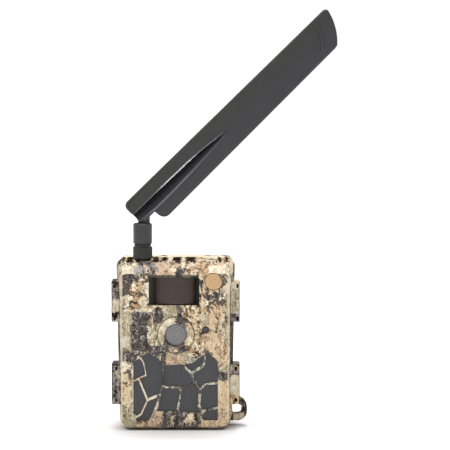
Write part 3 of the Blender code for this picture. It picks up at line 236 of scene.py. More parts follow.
# Patches of the print on the front face, from the back of the stack to its top:
# motif, centre x and z, half width, half height and lean in degrees, all lengths in millimetres
PATCHES = [
    ("streak", 0, 36, 46, 36, 0), ("leaf", -34, 118, 13, 17, 0), ("bark", -38.5, 131.5, 7.5, 5.5, 0),
    ("leaf", -26, 132, 5, 4.5, 0), ("bark", -44, 122, 2.4, 9, 0), ("bark", -36, 112.2, 4.5, 1.5, 8),
    ("olive", -43, 114, 3, 4, 0), ("cream", -30, 104.4, 16, 1.3, 0), ("bark", -32, 102.9, 14, 0.6, 0),
    ("streak", -42.5, 82, 5, 14, 0), ("stone", -43.6, 81, 4, 8, 0), ("speckle", -35, 126, 3, 4.5, 20),
    ("olive", -40, 97.5, 4.8, 4.8, 0), ("bark", -29.5, 85, 8.5, 18, 5), ("streak", -17.5, 85, 6.5, 13, 0),
    ("bark", -14.3, 101, 4.8, 7.5, 0), ("olive", -4, 104, 6.5, 5.5, 0), ("bark", 3.8, 102.5, 2.6, 7, 0),
    ("speckle", 9.5, 104, 3, 6, 0), ("speckle", 25, 121, 8, 15, 0), ("bark", 23, 127, 2, 4, -20),
    ("bark", 28, 116, 3, 2.6, 30), ("speckle", 17, 88, 7.5, 22, 0), ("wood", 35, 82, 9, 24, 0),
    ("bark", 36, 94, 0.9, 9, 0), ("streak", 42.8, 86, 3.4, 10, 0), ("wood", 42, 66, 5, 10, 0),
    ("olive", 26, 97, 4, 4.6, 0), ("leaf", 37, 108, 8, 7, 20), ("wood", 37, 105.6, 6, 4, 0),
    ("leaf", 42.5, 124, 4.5, 13, 0), ("bark", 35, 118, 6, 2.2, -12), ("olive", 45.2, 110, 1.4, 10, 0),
    ("bark", -16, 69.5, 7, 4.2, 0), ("pink", 0.5, 61.3, 11, 4.4, 0), ("bark", -10, 62.5, 2.2, 4, 0),
    ("olive", 11, 62.5, 2.6, 3.8, 0), ("speckle", 18, 62.5, 5, 4, 0), ("bark", 28, 67.6, 5, 1.8, 0),
    ("bark", -41, 64.5, 7, 5.5, 0), ("leaf", -41.5, 49, 5.5, 11, 0), ("wood", -42, 31, 4.5, 8, 0),
    ("pink", -39.5, 43, 3, 3, 20), ("streak", -41, 17, 6, 8, 0), ("olive", -38, 8, 7, 4.5, 0),
    ("leaf", -27, 6.5, 7, 4, 0), ("bark", -3, 9.5, 10, 8, 0), ("pink", -18.5, 10.5, 6.5, 6.5, 0),
    ("olive", -2.5, 9, 1.6, 6, 8), ("bark", 13, 9.5, 7.5, 8, 0), ("speckle", 12, 10.5, 4.5, 4.5, 0),
    ("wood", 30, 6, 7, 3.4, 0), ("wood", 42, 28, 6, 18, 0), ("bark", 41.5, 48, 5.5, 4.2, 0),
    ("wood", 41, 12, 5.5, 8, 0), ("bark", -33, 67, 5, 3, 0), ("bark", -27, 145, 6, 2, 0),
    ("grey", -18, 138.5, 3.6, 7.5, -32), ("pink", -9, 139.5, 6.5, 7.5, 22), ("speckle", 1.5, 141, 5, 7, 0),
    ("speckle", 12, 141, 8, 6, 0), ("bark", 4, 138, 4, 3.6, 20), ("leaf", 24, 141.5, 6.5, 5.5, 0),
]
LENS_PATCHES = [
    ("speckle", 14, 84, 6, 12, 0), ("cream", -10, 92.5, 10.5, 9.5, 0), ("olive", -13, 81, 4, 6, 0),
    ("bark", 8, 95, 8, 5, 0), ("pink", 13, 91, 3, 3, 0), ("speckle", -1, 71, 3.5, 2, 0),
]
EAR_PATCHES = [
    ("stone", 52, 114, 8, 11.5, 0), ("cream", 52, 127, 6, 3.6, 0), ("grey", 52, 98, 8, 4.4, 0),
    ("grey", 51.5, 54, 8, 3.6, 0), ("stone", 51.5, 55, 8, 1.6, 0), ("cream", 51, 36, 8, 12.5, 20),
    ("wood", 51, 27, 6, 5, 0), ("grey", -51, 117, 6, 8, 0), ("cream", -52, 108.5, 5, 5, 0),
    ("stone", -51, 95.3, 6, 1.3, 0), ("grey", -51, 40, 8, 17, 0), ("stone", -50, 50, 2.5, 4, 0),
    ("bark", -52, 34, 2, 5, 0), ("cream", 54, 8, 7, 4, 0),
]
FLANK_PATCHES = [
    ("stone", -50, 134, 4, 10, 0), ("grey", -50, 90, 4, 6, 0), ("bark", -50, 76, 4, 10, 0),
    ("grey", -50, 62, 4, 5, 0), ("cream", -49, 14, 4, 10, 0), ("cream", 50, 143, 4, 7, 0),
    ("grey", 50, 131, 4, 4, 0), ("wood", 49, 16, 4, 7, 0),
]
# Marks with straight edges: motif, x from and to, z from and to
CREASE_MARKS = [
    ("cream", -45.6, -35, 136.6, 143.4), ("grey", -35.5, -25, 136.6, 142), ("cream", 29, 45.6, 136.6, 143.4),
]
WEB_MARKS = [
    ("cream", -36.8, -16, 18.2, 57.2), ("web", -16, 36.9, 18.2, 57.2), ("cream", -35, -23.4, 8.5, 18.4),
    ("web", 22, 36.9, 9, 18.4), ("cream", -31.2, -26, 57, 64), ("web", 8.5, 27.5, 50, 64.5),
    ("pink", -36.8, -23, 41.5, 48), ("bark", -11.6, -9.4, 39.6, 60), ("bark", -12.5, -9.2, 27, 38),
    ("bark", 6.5, 17.6, 36.4, 41.8), ("grey", 12.8, 17.6, 41, 50.6), ("bark", 27, 33.5, 17.2, 19.6),
]
# Dark spots on the top: centre x and half width. They lie in front of TOP_SPOTS_Y.
TOP_SPOTS = [(-45.5, 1.5), (-39.5, 3), (-32, 2.6), (-17, 2.4), (-9.6, 2.6), (1, 4), (13.4, 4.4), (38.6, 1.5),
             (44.3, 1.2)]
TOP_SPOTS_Y = -4.0

# Where the print changes, in millimetres. A pair is a low and a high limit, and the X of flanks, ears and
# lip is counted from the middle to both sides.
# The top of the case lies above TOP_Z, the bracket behind BRACKET_Y, and the front before FRONT_Y
TOP_Z = high_corner("front_case").z - 1.2
BRACKET_Y = high_corner("rear_case").y + 0.15
FRONT_Y = -38.0
# The bracket's print is the same one, moved, so that it stands out from the case behind it
BRACKET_SHIFT = (57, 0, 31)
# Side walls of the front shell
FLANK_X, FLANK_Y = 46.9, (-45.7, -17.2)
# Ears: their faces, the rim and slots just behind the faces, painted black as shade, and their outer sides
EAR_FACE_X, EAR_FACE_Y = 46.5, (-44.8, -43.0)
EAR_SHADE_Y = (-44.4, -43.0)
EAR_SIDE_X, EAR_BACK_Y = 50.4, -13.5
UPPER_EAR_Z, LOWER_EAR_Z = (94.6, 129.7), (22.6, 57.7)
# Radius of the print on the lens ring, and of the painted shadow line round it
LENS_PRINT_RADIUS, LENS_SHADOW_LINE = 16.0, (15.7, 16.4)
# The sensor's pocket and the brow above it, both darkened with painted shade: x from and to, z from and to
POCKET, POCKET_Y = (-24.2, 22.2, 107.5, 134.2), (-46.8, -36.0)
POCKET_BROW = (-22.6, 20.6, 133.3, 135.6)
# The sawn end of a log, the height where it is cut off, and its rings in radians per millimetre
LOG_X, LOG_Z, LOG_RADIUS, LOG_TOP = 33.2, 130.0, 7.2, (137.2, 137.6)
LOG_WAVE = 2.4
# The foot of the case, darkened with painted shade, and the edge round its front, lightened with a painted
# highlight
FOOT_Z = (1.5, 4.5)
LIP_X, LIP_Y = (45.0, 45.6), (-47.0, -46.25)
# Cells and leaves of the print per millimetre
CELL_SCALE, LEAF_SCALE = 0.062, 0.13


class Camouflage(Graph):
    """A generic bark and leaf print: by patch on the front, flanks and ears, by cell everywhere else."""

    def __init__(self):
        super().__init__("camo_print", 0.5)
        self.x, self.y, self.z = self.parts(self.place)
        self.across = self.math("ABSOLUTE", self.x)
        self.drift = self.wander(0.2, 0.65)
        self.ragged = self.vector("ADD", self.place, self.vector("MULTIPLY", self.drift, (9, 9, 11)))
        fine = self.wander(0.5, 0.6)
        self.torn = self.vector("ADD", self.ragged, self.vector("MULTIPLY", fine, (5, 5, 6.5)))
        self.torn_x, self.torn_y, self.torn_z = self.parts(self.torn)

    def wander(self, scale, roughness):
        """A soft random shift of up to half a unit each way."""
        cloud = self.noise(self.place, scale, 3, roughness, output="Color")
        return self.vector("SUBTRACT", cloud, (0.5, 0.5, 0.5))

    def put(self, number, test, motif):
        """A motif's number where a test holds, over what was there."""
        return self.choose(test, number, MOTIFS.index(motif))

    def pasted(self, number, patches):
        """Patches over a motif number, which rides along in y so that each patch waits for the last."""
        for motif, centre_x, centre_z, half_width, half_height, lean in patches:
            spot = self.node("CombineXYZ", {0: self.torn_x, 1: number, 2: self.torn_z})
            near = self.placed(spot, (centre_x, 0, centre_z), (0, lean, 0), (half_width, 10000, half_height))
            squarish = self.vector("LENGTH", self.vector("MULTIPLY", near, near))
            number = self.put(number, self.below(squarish, 1.0), motif)
        return number

    def panel(self, x_low, x_high, z_low, z_high):
        """A mask with straight edges, seen from the front."""
        return self.both(self.within(self.x, x_low, x_high), self.within(self.z, z_low, z_high))

    def motifs_by_cell(self):
        """Motifs of random cells, shifted on the bracket, and pale with dark spots on the top."""
        self.on_bracket = self.above(self.y, BRACKET_Y)
        cut = self.vector("ADD", self.ragged, self.vector("SCALE", BRACKET_SHIFT, scale=self.on_bracket))
        cells = self.vector("MULTIPLY", cut, (1, 1, 0.55))
        pick = self.parts(self.voronoi(cells, CELL_SCALE, output="Color"))[1]
        number = 0.0
        for start, motif in CELL_MOTIFS:
            number = self.put(number, self.above(pick, start), motif)
        top = self.put(MOTIFS.index("cream"), self.above(pick, 0.6), "leaf")
        for centre, half in TOP_SPOTS:
            spot = self.within(self.torn_x, centre - half, centre + half)
            top = self.put(top, self.both(spot, self.below(self.torn_y, TOP_SPOTS_Y)), "black")
        return self.choose(self.above(self.z, TOP_Z), number, top)

    def motifs_on_front(self, number):
        """The front's patches and marks, and the lens ring's own patches."""
        front = self.pasted(number, PATCHES)
        for motif, *sides in CREASE_MARKS + WEB_MARKS:
            front = self.put(front, self.panel(*sides), motif)
        self.from_lens = self.from_axis(self.place, "lens_window")
        by_lens = self.below(self.from_lens, LENS_PRINT_RADIUS)
        front = self.choose(by_lens, front, self.pasted(0.0, LENS_PATCHES))
        self.is_front = self.below(self.y, FRONT_Y)
        return self.choose(self.is_front, number, front)

    def motifs_on_sides(self, number):
        """Patches on the side walls and the ears."""
        self.flank = self.both(self.above(self.across, FLANK_X), self.within(self.y, *FLANK_Y))
        number = self.choose(self.flank, number, self.pasted(0.0, FLANK_PATCHES))
        # Painted shade: black on the ears' rim and in their slots just behind the faces
        ears = self.put(self.pasted(0.0, EAR_PATCHES), self.within(self.y, *EAR_SHADE_Y), "black")
        heights = self.either(self.within(self.z, *UPPER_EAR_Z), self.within(self.z, *LOWER_EAR_Z))
        face = self.both(self.above(self.across, EAR_FACE_X), self.within(self.y, *EAR_FACE_Y))
        face = self.both(face, heights)
        beyond = self.both(self.above(self.across, EAR_SIDE_X), self.below(self.y, EAR_BACK_Y))
        return self.choose(self.either(face, beyond), number, ears)

    def draw_textures(self):
        """The noises and cracks that the motifs share."""
        self.blotch = self.noise(self.vector("MULTIPLY", self.torn, (1, 1, 0.42)), 0.3, 4, 0.62)
        self.streaks = self.noise(self.vector("MULTIPLY", self.ragged, (1, 1, 0.12)), 0.5, 4, 0.62)
        self.flecks = self.noise(self.placed(self.torn, turn=(0, 20, 0), size=(1, 1, 1.8)), 0.36, 3, 0.6)
        self.soft = self.noise(self.ragged, 0.24, 3, 0.55)
        self.chips = self.span(self.flecks, 0.585, 0.625)
        self.pits = self.span(self.flecks, 0.42, 0.37)
        self.leaves = self.placed(self.torn, turn=(0, 24, 0), size=(1, 1, 1.5))
        rim = self.voronoi(self.leaves, LEAF_SCALE, "DISTANCE_TO_EDGE")
        gap = self.span(self.noise(self.torn, 0.16, 3, 0.6), 0.4, 0.62, 0.0, 0.22)
        self.split = self.span(self.math("SUBTRACT", rim, gap), 0.03, -0.03)
        plates = self.voronoi(self.vector("MULTIPLY", self.torn, (1, 1, 0.3)), 0.22, "DISTANCE_TO_EDGE")
        cracks = self.span(plates, 0.12, 0.04)
        self.sparse = self.both(cracks, self.span(self.soft, 0.44, 0.54))

    def stained(self, look, mask, strength, tone):
        """A look with a tone over it where a mask is, as strong as given."""
        return self.mix(self.math("MULTIPLY", mask, strength), look, tone)

    def painted(self, number):
        """The colour of each motif where its number stands."""
        stained = self.stained
        chips, pits, split, sparse = self.chips, self.pits, self.split, self.sparse

        def show(colour, motif, look):
            return self.mix(self.math("COMPARE", number, MOTIFS.index(motif), 0.5), colour, look)

        bark = self.ramp(self.blotch, [(0.38, BLACK), (0.47, DARK), (0.54, CHARCOAL), (0.64, SLATE)])
        bark = stained(bark, chips, 0.75, CHALK)
        colour = self.mix(self.span(self.streaks, 0.6, 0.66, 0, 0.6), bark, SILVER)
        leaf_tone = self.parts(self.voronoi(self.leaves, LEAF_SCALE, output="Color"))[0]
        each_leaf, in_leaf = self.math("MULTIPLY", leaf_tone, 0.6), self.math("MULTIPLY", self.soft, 0.4)
        leaf_tone = self.math("ADD", each_leaf, in_leaf)
        leaf = self.ramp(leaf_tone, [(0.25, ORANGE), (0.42, TAN), (0.6, CREAM), (0.78, PALE)])
        colour = show(colour, "leaf", stained(stained(leaf, pits, 0.55, BROWN), split, 0.92, DARK))
        streak = self.ramp(self.streaks, [(0.36, BROWN), (0.43, SAGE), (0.49, OLIVE), (0.57, CREAM),
                                          (0.66, PALE)])
        colour = show(colour, "streak", stained(stained(streak, pits, 0.6, DARK), sparse, 0.8, BROWN))
        diagonal = self.noise(self.placed(self.torn, turn=(0, -24, 0), size=(1, 1, 2.4)), 0.3, 4, 0.6)
        speckle = self.ramp(diagonal, [(0.39, BLACK), (0.44, BROWN), (0.49, ORANGE), (0.53, CREAM),
                                       (0.63, PALE)])
        colour = show(colour, "speckle", speckle)
        pink = self.ramp(self.soft, [(0.36, ROSE), (0.58, PINK)])
        colour = show(colour, "pink", stained(stained(pink, pits, 0.8, BROWN), sparse, 0.7, DARK))
        wood = self.ramp(self.streaks, [(0.35, BROWN), (0.4, ORANGE), (0.48, TAN), (0.62, CREAM)])
        colour = show(colour, "wood", stained(wood, sparse, 0.75, DARK))
        grey = self.ramp(self.blotch, [(0.38, DARK), (0.47, SLATE), (0.58, SILVER)])
        colour = show(colour, "grey", stained(grey, chips, 0.8, CHALK))
        olive = self.ramp(self.streaks, [(0.36, SAGE), (0.46, OLIVE), (0.62, CREAM)])
        colour = show(colour, "olive", stained(olive, split, 0.55, SAGE))
        cream = self.ramp(self.soft, [(0.35, CREAM), (0.6, PALE)])
        colour = show(colour, "cream", stained(stained(cream, pits, 0.5, SAGE), sparse, 0.5, BROWN))
        web = self.ramp(self.soft, [(0.36, MOSS), (0.5, LICHEN)])
        colour = show(colour, "web", stained(web, self.span(self.flecks, 0.52, 0.48), 0.9, DARK))
        stone = self.ramp(self.soft, [(0.3, SAGE), (0.44, OLIVE), (0.6, CHALK)])
        colour = show(colour, "stone", stained(stone, pits, 0.5, DARK))
        return show(colour, "black", self.mix(self.span(chips, 0, 1, 0, 0.5), SOOT, BROWN))

    def with_log(self, colour):
        """The sawn end of a log at the upper right, cut off by the crease."""
        near_log = self.vector("ADD", self.place, self.vector("MULTIPLY", self.drift, (3, 3, 4)))
        reach = self.from_line(near_log, LOG_X, LOG_Z)
        rings = self.math("SINE", self.math("MULTIPLY", reach, LOG_WAVE))
        log_end = self.mix(self.span(rings, -1, 1, 0, 0.35), ORANGE, TAN)
        log_end = self.mix(self.within(reach, LOG_RADIUS - 0.2, LOG_RADIUS + 0.7), log_end, BROWN)
        below_crease = self.span(self.z, LOG_TOP[1], LOG_TOP[0])
        in_log = self.both(self.span(reach, LOG_RADIUS + 0.9, LOG_RADIUS + 0.4), below_crease)
        return self.mix(self.both(in_log, self.is_front), colour, log_end)

    def shaded(self, colour):
        """Painted shade round the lens, in the sensor's pocket, on sides, top and foot, and a pale painted
        highlight on the edge round the front.
        """
        # A painted shadow line round the lens ring
        outline = self.both(self.within(self.from_lens, *LENS_SHADOW_LINE), self.is_front)
        colour = self.stained(colour, outline, 0.75, DARK)
        # Painted shade in the sensor's pocket and under the brow above it
        pocket = self.both(self.panel(*POCKET), self.within(self.y, *POCKET_Y))
        brow = self.math("MULTIPLY", self.both(self.panel(*POCKET_BROW), self.is_front), 0.85)
        colour = self.mix(self.either(pocket, brow), colour, POCKET_SHADE)
        sides = self.either(self.flank, self.math("MULTIPLY", self.on_bracket, 2.0))
        colour = self.stained(colour, sides, 0.2, DARK)
        self.on_top = self.above(self.z, TOP_Z)
        colour = self.stained(colour, self.on_top, 0.2, DARK)
        # Painted shade at the foot of the case
        colour = self.stained(colour, self.span(self.z, FOOT_Z[1], FOOT_Z[0]), 0.7, BLACK)
        # A pale painted highlight on the edge round the front
        lip_highlight = self.both(self.span(self.across, *LIP_X), self.within(self.y, *LIP_Y))
        return self.stained(colour, lip_highlight, 0.6, CREAM)


def camouflage():
    """The printed shell, with a fine grit in its colour, gloss and surface."""
    g = Camouflage()
    number = g.motifs_on_sides(g.motifs_on_front(g.motifs_by_cell()))
    g.draw_textures()
    colour = g.shaded(g.with_log(g.painted(number)))
    grit = g.noise(g.place, 1.9, 3, 0.65)
    g.set(Base_Color=g.mix(g.span(grit, 0.42, 0.36, 0, 0.5), colour, DARK))
    g.set(Roughness=g.span(grit, 0.3, 0.7, 0.4, 0.56), Normal=g.bump(grit, 0.05, 0.35))
    g.set(Specular_IOR_Level=g.choose(g.either(g.on_top, g.flank), 0.4, 0.0))
    return g.material


# Plain finishes ------------------------------------------------------------------------------

DUST = (0.32, 0.3, 0.27, 1)

def moulded(name, colour, roughness, grain=2.6, depth=0.03, spread=0.25):
    """Moulded plastic or rubber: spark-eroded grain, uneven gloss and a little dust."""
    g = Graph(name, roughness)
    cloud = g.noise(g.place, 0.06, 4, 0.6)
    dust = g.noise(g.place, 0.5, 4, 0.7)
    shade = [(*[c * (1 - spread) for c in colour[:3]], 1), (*[c * (1 + spread) for c in colour[:3]], 1)]
    body = g.mix(g.span(cloud, 0.35, 0.65), *shade)
    dusty = g.mix(g.span(dust, 0.56, 0.8, 0, 0.12), body, DUST)
    g.set(Base_Color=dusty, Roughness=g.span(dust, 0.3, 0.75, roughness - 0.05, roughness + 0.08))
    g.set(Normal=g.bump(g.noise(g.place, grain, 3, 0.6), depth, 0.5))
    return g.material


# The paddle's pivot in millimetres and its lean at rest in degrees
TILT_JOINT = next(joint for joint in record["behaviour"]["joints"] if joint["name"] == "antenna_tilt")
PIVOT, LEAN = [value / MM for value in TILT_JOINT["pos_m"]], 45.35
# The channel of the paddle: height above the pivot, its left edge, and the right edge of the rib beside it
CHANNEL = [(-5.0, -6.3, 3.0), (14.0, -6.2, 4.6), (30.0, -6.0, 4.7), (60.0, -5.4, 3.9), (76.0, -4.6, 3.1),
           (92.0, -2.8, 2.2), (102.0, -1.6, 0.6)]
# Heights where the nut's plastic ends and the paddle's begins
NUT_TOP = high_corner("antenna_nut").z + 0.2
BLADE_Z = 180.0


def channel_edge(g, along, side):
    """The place of an edge of the channel, 1 for left and 2 for right, at each height."""
    edge = CHANNEL[0][side]
    for low, high in zip(CHANNEL, CHANNEL[1:]):
        step = g.span(along, low[0], high[0], 0, high[side] - low[side], smooth=False)
        edge = g.math("ADD", edge, step)
    return edge


def antenna_plastic():
    """Satin black, a shade cooler on the blade's right; smooth in the channel, with painted shade on its
    floor, darkest at its left, and a painted highlight along the rib beside it.
    """
    g = Graph("antenna_plastic", 0.42)
    z = g.parts(g.place)[2]
    across, _, along = g.parts(g.placed(g.place, PIVOT, (0, LEAN, 0)))
    body = g.mix(g.span(across, -18, 16), linear(45, 45, 43), linear(50, 49, 55))
    cloud = g.noise(g.place, 0.06, 4, 0.6)
    body = g.mix(g.span(cloud, 0.35, 0.65, 0, 0.3), body, linear(58, 58, 60))
    left, right = channel_edge(g, along, 1), channel_edge(g, along, 2)
    past_left = g.above(across, g.math("ADD", left, 0.5))
    inside = g.both(past_left, g.below(across, g.math("SUBTRACT", right, 2.0)))
    inside = g.both(inside, g.within(along, CHANNEL[0][0], CHANNEL[-1][0]))
    # A painted highlight along the rib beside the channel
    from_rib = g.math("ADD", g.math("SUBTRACT", across, right), 1.0)
    rib = g.math("SUBTRACT", 1.0, g.math("ABSOLUTE", g.math("DIVIDE", from_rib, 1.2)))
    rib = g.math("MAXIMUM", rib, 0.0)
    rib = g.both(rib, g.both(g.span(along, -2, 12), g.span(along, 95, 40)))
    is_blade = g.above(z, BLADE_Z)
    inside = g.both(inside, is_blade)
    climb = g.math("DIVIDE", g.math("SUBTRACT", across, left), g.math("SUBTRACT", right, left))
    # Painted shade on the channel's floor, darkest at its left
    channel_floor_shade = g.mix(g.span(climb, 0.3, 0.75), linear(5, 5, 6), linear(46, 46, 49))
    body = g.mix(inside, body, channel_floor_shade)
    # The painted highlight along the rib
    body = g.mix(g.math("MULTIPLY", g.both(rib, is_blade), 0.8), body, linear(112, 112, 116))
    body = g.mix(g.below(z, NUT_TOP), body, linear(30, 28, 28))
    dust = g.noise(g.place, 0.5, 4, 0.7)
    g.set(Base_Color=g.mix(g.span(dust, 0.6, 0.85, 0, 0.08), body, (0.3, 0.29, 0.27, 1)))
    g.set(Roughness=g.choose(inside, g.span(dust, 0.3, 0.75, 0.38, 0.48), 0.22))
    g.set(Specular_IOR_Level=g.choose(inside, 0.5, 0.15))
    g.set(Normal=g.bump(g.noise(g.place, 2.6, 3, 0.6), 0.02, 0.5))
    return g.material


def ridge_gloss():
    """Glossy edge of the channel, with a painted highlight along its middle."""
    g = Graph("antenna_ridge", 0.18, Coat_Weight=0.6, Coat_Roughness=0.1)
    along = g.parts(g.placed(g.place, PIVOT, (0, LEAN, 0)))[2]
    # A painted highlight along the middle of the ridge, varied by the noise that also roughens its surface
    highlight_band = g.both(g.span(along, 20, 38), g.span(along, 74, 58))
    wear_and_glint = g.noise(g.place, 0.5, 4, 0.7)
    highlight_tone = g.mix(g.span(wear_and_glint, 0.35, 0.6), linear(150, 150, 153), linear(236, 236, 238))
    g.set(Base_Color=g.mix(highlight_band, linear(92, 92, 95), highlight_tone))
    g.set(Normal=g.bump(wear_and_glint, 0.01, 0.4))
    return g.material


def metal(name, colour, roughness):
    """Plated or machined metal with fine tool marks."""
    g = Graph(name, roughness, Metallic=1.0)
    marks = g.noise(g.vector("MULTIPLY", g.place, (1, 1, 0.04)), 3.0, 4, 0.7)
    tarnish = g.noise(g.place, 0.25, 4, 0.6)
    dull = (*[c * 0.6 for c in colour[:3]], 1)
    g.set(Base_Color=g.mix(g.span(tarnish, 0.45, 0.75, 0, 0.6), colour, dull))
    g.set(Roughness=g.span(marks, 0.3, 0.7, roughness - 0.08, roughness + 0.12))
    g.set(Normal=g.bump(marks, 0.01, 0.4))
    return g.material


def circuit_board():
    """Solder mask with copper tracks and pads under it."""
    g = Graph("circuit_board", 0.35, Coat_Weight=0.3, Coat_Roughness=0.2)
    grid = g.vector("MULTIPLY", g.place, (1, 0.001, 1))
    lanes = g.node("TexBrick", {"Vector": g.placed(grid, turn=(90, 0, 0)), "Color1": (0, 0, 0, 1),
                                "Color2": (0.25, 0.25, 0.25, 1), "Mortar": (1, 1, 1, 1), "Scale": 0.16,
                                "Mortar Size": 0.03, "Brick Width": 1.3, "Row Height": 0.4}, "Color")
    pads = g.span(g.voronoi(grid, 0.35, randomness=0.4), 0.16, 0.2, 1, 0)
    mask = g.mix(g.parts(lanes)[0], (0.008, 0.07, 0.03, 1), (0.02, 0.17, 0.07, 1))
    g.set(Base_Color=g.mix(pads, mask, (0.5, 0.38, 0.18, 1)))
    g.set(Metallic=g.math("MULTIPLY", pads, 0.8), Normal=g.bump(g.parts(lanes)[0], 0.05, 0.5))
    return g.material


def smoked(name, tint, roughness):
    """Dark acrylic that lets nothing through, with faint haze and hairlines."""
    g = Graph(name, roughness, Coat_Weight=0.25, Coat_Roughness=0.12)
    haze = g.noise(g.place, 0.05, 3, 0.5)
    hair = g.noise(g.placed(g.place, turn=(0, 31, 0), size=(0.2, 1, 6)), 2.0, 3, 0.6)
    lighter = (*[c * 1.25 for c in tint[:3]], 1)
    g.set(Base_Color=g.mix(g.span(haze, 0.3, 0.7), tint, lighter))
    g.set(Roughness=g.span(hair, 0.35, 0.7, roughness - 0.05, roughness + 0.08))
    g.set(Normal=g.bump(hair, 0.006, 0.3))
    return g.material


def sensor_lens():
    """Milky brown polyethylene with the faint grid of its facets, which are 5.6 by 7.5 mm."""
    g = Graph("pir_polyethylene", 0.42)
    x, _, z = g.parts(g.place)
    waves = [g.math("ABSOLUTE", g.math("SINE", g.math("MULTIPLY", axis, math.pi / pitch)))
             for axis, pitch in ((x, 5.6), (z, 7.5))]
    seam = g.either(*[g.span(wave, 0.0, 0.06, 1, 0) for wave in waves])
    cloud = g.noise(g.place, 0.1, 4, 0.6)
    brown = g.mix(g.span(cloud, 0.35, 0.65), linear(52, 37, 28), linear(61, 45, 36))
    g.set(Base_Color=g.mix(g.math("MULTIPLY", seam, 0.12), brown, linear(40, 32, 28)))
    g.set(Roughness=g.span(cloud, 0.3, 0.7, 0.38, 0.5), Normal=g.bump(seam, -0.02, 0.2))
    return g.material


def lens_glass():
    """Grey cover disc, a little darker in the middle and at the rim."""
    g = Graph("lens_cover", 0.3, Coat_Weight=0.3, Coat_Roughness=0.15)
    radius = high_corner("lens_window").x - middle_of("lens_window").x
    share = g.math("DIVIDE", g.from_axis(g.place, "lens_window"), radius)
    tone = g.ramp(share, [(0.0, linear(126, 126, 126)), (0.5, linear(134, 133, 133)),
                          (0.8, linear(137, 136, 136)), (1.0, linear(118, 118, 120))])
    cloud = g.noise(g.place, 0.4, 4, 0.6)
    g.set(Base_Color=g.mix(g.span(cloud, 0.4, 0.7, 0, 0.15), tone, linear(150, 150, 152)))
    g.set(Roughness=g.span(cloud, 0.3, 0.7, 0.24, 0.36))
    g.set(Normal=g.bump(g.noise(g.place, 3.0, 2), 0.01, 0.3))
    return g.material


GLOSS = moulded("antenna_gloss", linear(20, 20, 22), 0.2, depth=0.01, spread=0.2)
RIDGE = ridge_gloss()
KEY_WHITE = moulded("key_white", linear(206, 205, 200), 0.6)
FINISHES = {
    "camo_shell": camouflage(),
    "smoked_acrylic": smoked("smoked_acrylic", linear(46, 45, 50), 0.32),
    "pir_polyethylene": sensor_lens(),
    "lens_glass": lens_glass(),
    "lens_trim": moulded("lens_trim", linear(118, 119, 119), 0.35),
    "black_plastic": moulded("black_plastic", linear(44, 45, 47), 0.5),
    "antenna_plastic": antenna_plastic(),
    "circuit_board": circuit_board(),
    "rubber": moulded("rubber", linear(38, 38, 38), 0.8, grain=1.4, depth=0.05),
    "key_rubber": moulded("key_rubber", linear(120, 120, 118), 0.7, grain=1.6),
    "switch_plastic": moulded("switch_plastic", linear(186, 52, 40), 0.4),
    "steel": metal("steel", (0.56, 0.56, 0.57, 1), 0.32),
    "brass": metal("brass", (0.72, 0.52, 0.24, 1), 0.3),
    "display_glass": smoked("display_glass", linear(30, 32, 36), 0.1),
}


# Shapes --------------------------------------------------------------------------------------

# CAD nodes that are shown with rounded edges, and the radius in millimetres
ROUNDED = {"front_case": 0.35, "rear_case": 0.3, "antenna_hub": 0.35, "tree_bracket": 0.4,
           "battery_tray": 0.25, "inner_panel": 0.25, "dc_cap": 0.4, "latch_lever_upper": 0.3,
           "latch_lever_lower": 0.3, "power_switch": 0.2, "sd_socket": 0.15, "usb_socket": 0.15,
           "lens_bezel": 0.2}
# Before the rounding, vertices this close become one, and faces this flat to each other become one
WELD, FLAT = 0.002 * MM, math.radians(0.6)
# Edges from the first angle on are rounded, and from the second on they are shaded sharp
EDGE_ANGLE, SHARP_ANGLE = math.radians(30), math.radians(40)


def piece_of(name, mesh, body, slot, *nodes, finish=None):
    """A piece that rides on a body, wears a finish, by default its slot's, and stands for CAD nodes."""
    piece = bpy.data.objects.new(name, mesh)
    bpy.context.scene.collection.objects.link(piece)
    mesh.materials.clear()
    mesh.materials.append(finish or FINISHES[slot])
    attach(piece, body)
    if nodes:
        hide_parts(*nodes)
    return piece


def rounded_copy(node, radius):
    """A copy of a CAD node's mesh with its sharp edges rounded, shown in the node's place."""
    mesh = frame["nodes"][node].data.copy()
    shape = bmesh.new()
    shape.from_mesh(mesh)
    bmesh.ops.remove_doubles(shape, verts=shape.verts, dist=WELD)
    bmesh.ops.dissolve_limit(shape, angle_limit=FLAT, verts=shape.verts, edges=shape.edges)
    shape.to_mesh(mesh)
    shape.free()
    piece = piece_of(f"{node}_detail", mesh, BODY_OF[node], SLOT_OF[node], node)
    bevel = piece.modifiers.new("edges", "BEVEL")
    bevel.width = radius * MM
    bevel.segments = 2
    bevel.limit_method = "ANGLE"
    bevel.angle_limit = EDGE_ANGLE
    bevel.use_clamp_overlap = True
    mesh.shade_smooth()
    mesh.set_sharp_from_angle(angle=SHARP_ANGLE)


# The radius of a bead's ends, as a share of its own
BEAD_TAPER = 0.35


def bead(name, path, radius, body, slot, sides=8, finish=None):
    """A thin tube along a path in millimetres, with tapered ends."""
    path = [Vector(point) for point in path]
    shape = bmesh.new()
    rings = []
    for index, point in enumerate(path):
        way = (path[min(index + 1, len(path) - 1)] - path[max(index - 1, 0)]).normalized()
        side = way.cross(Vector((0, 1, 0))).normalized()
        up = side.cross(way)
        reach = radius * (BEAD_TAPER if index in (0, len(path) - 1) else 1.0)
        turns = [2 * math.pi * k / sides for k in range(sides)]
        rings.append([shape.verts.new((point + (side * math.cos(a) + up * math.sin(a)) * reach) * MM)
                      for a in turns])
    for ring, after in zip(rings, rings[1:]):
        for k in range(sides):
            shape.faces.new((ring[k], ring[(k + 1) % sides], after[(k + 1) % sides], after[k]))
    shape.faces.new(rings[0])
    shape.faces.new(rings[-1])
    bmesh.ops.recalc_face_normals(shape, faces=shape.faces)
    mesh = bpy.data.meshes.new(name)
    shape.to_mesh(mesh)
    shape.free()
    mesh.shade_smooth()
    return piece_of(name, mesh, body, slot, finish=finish)


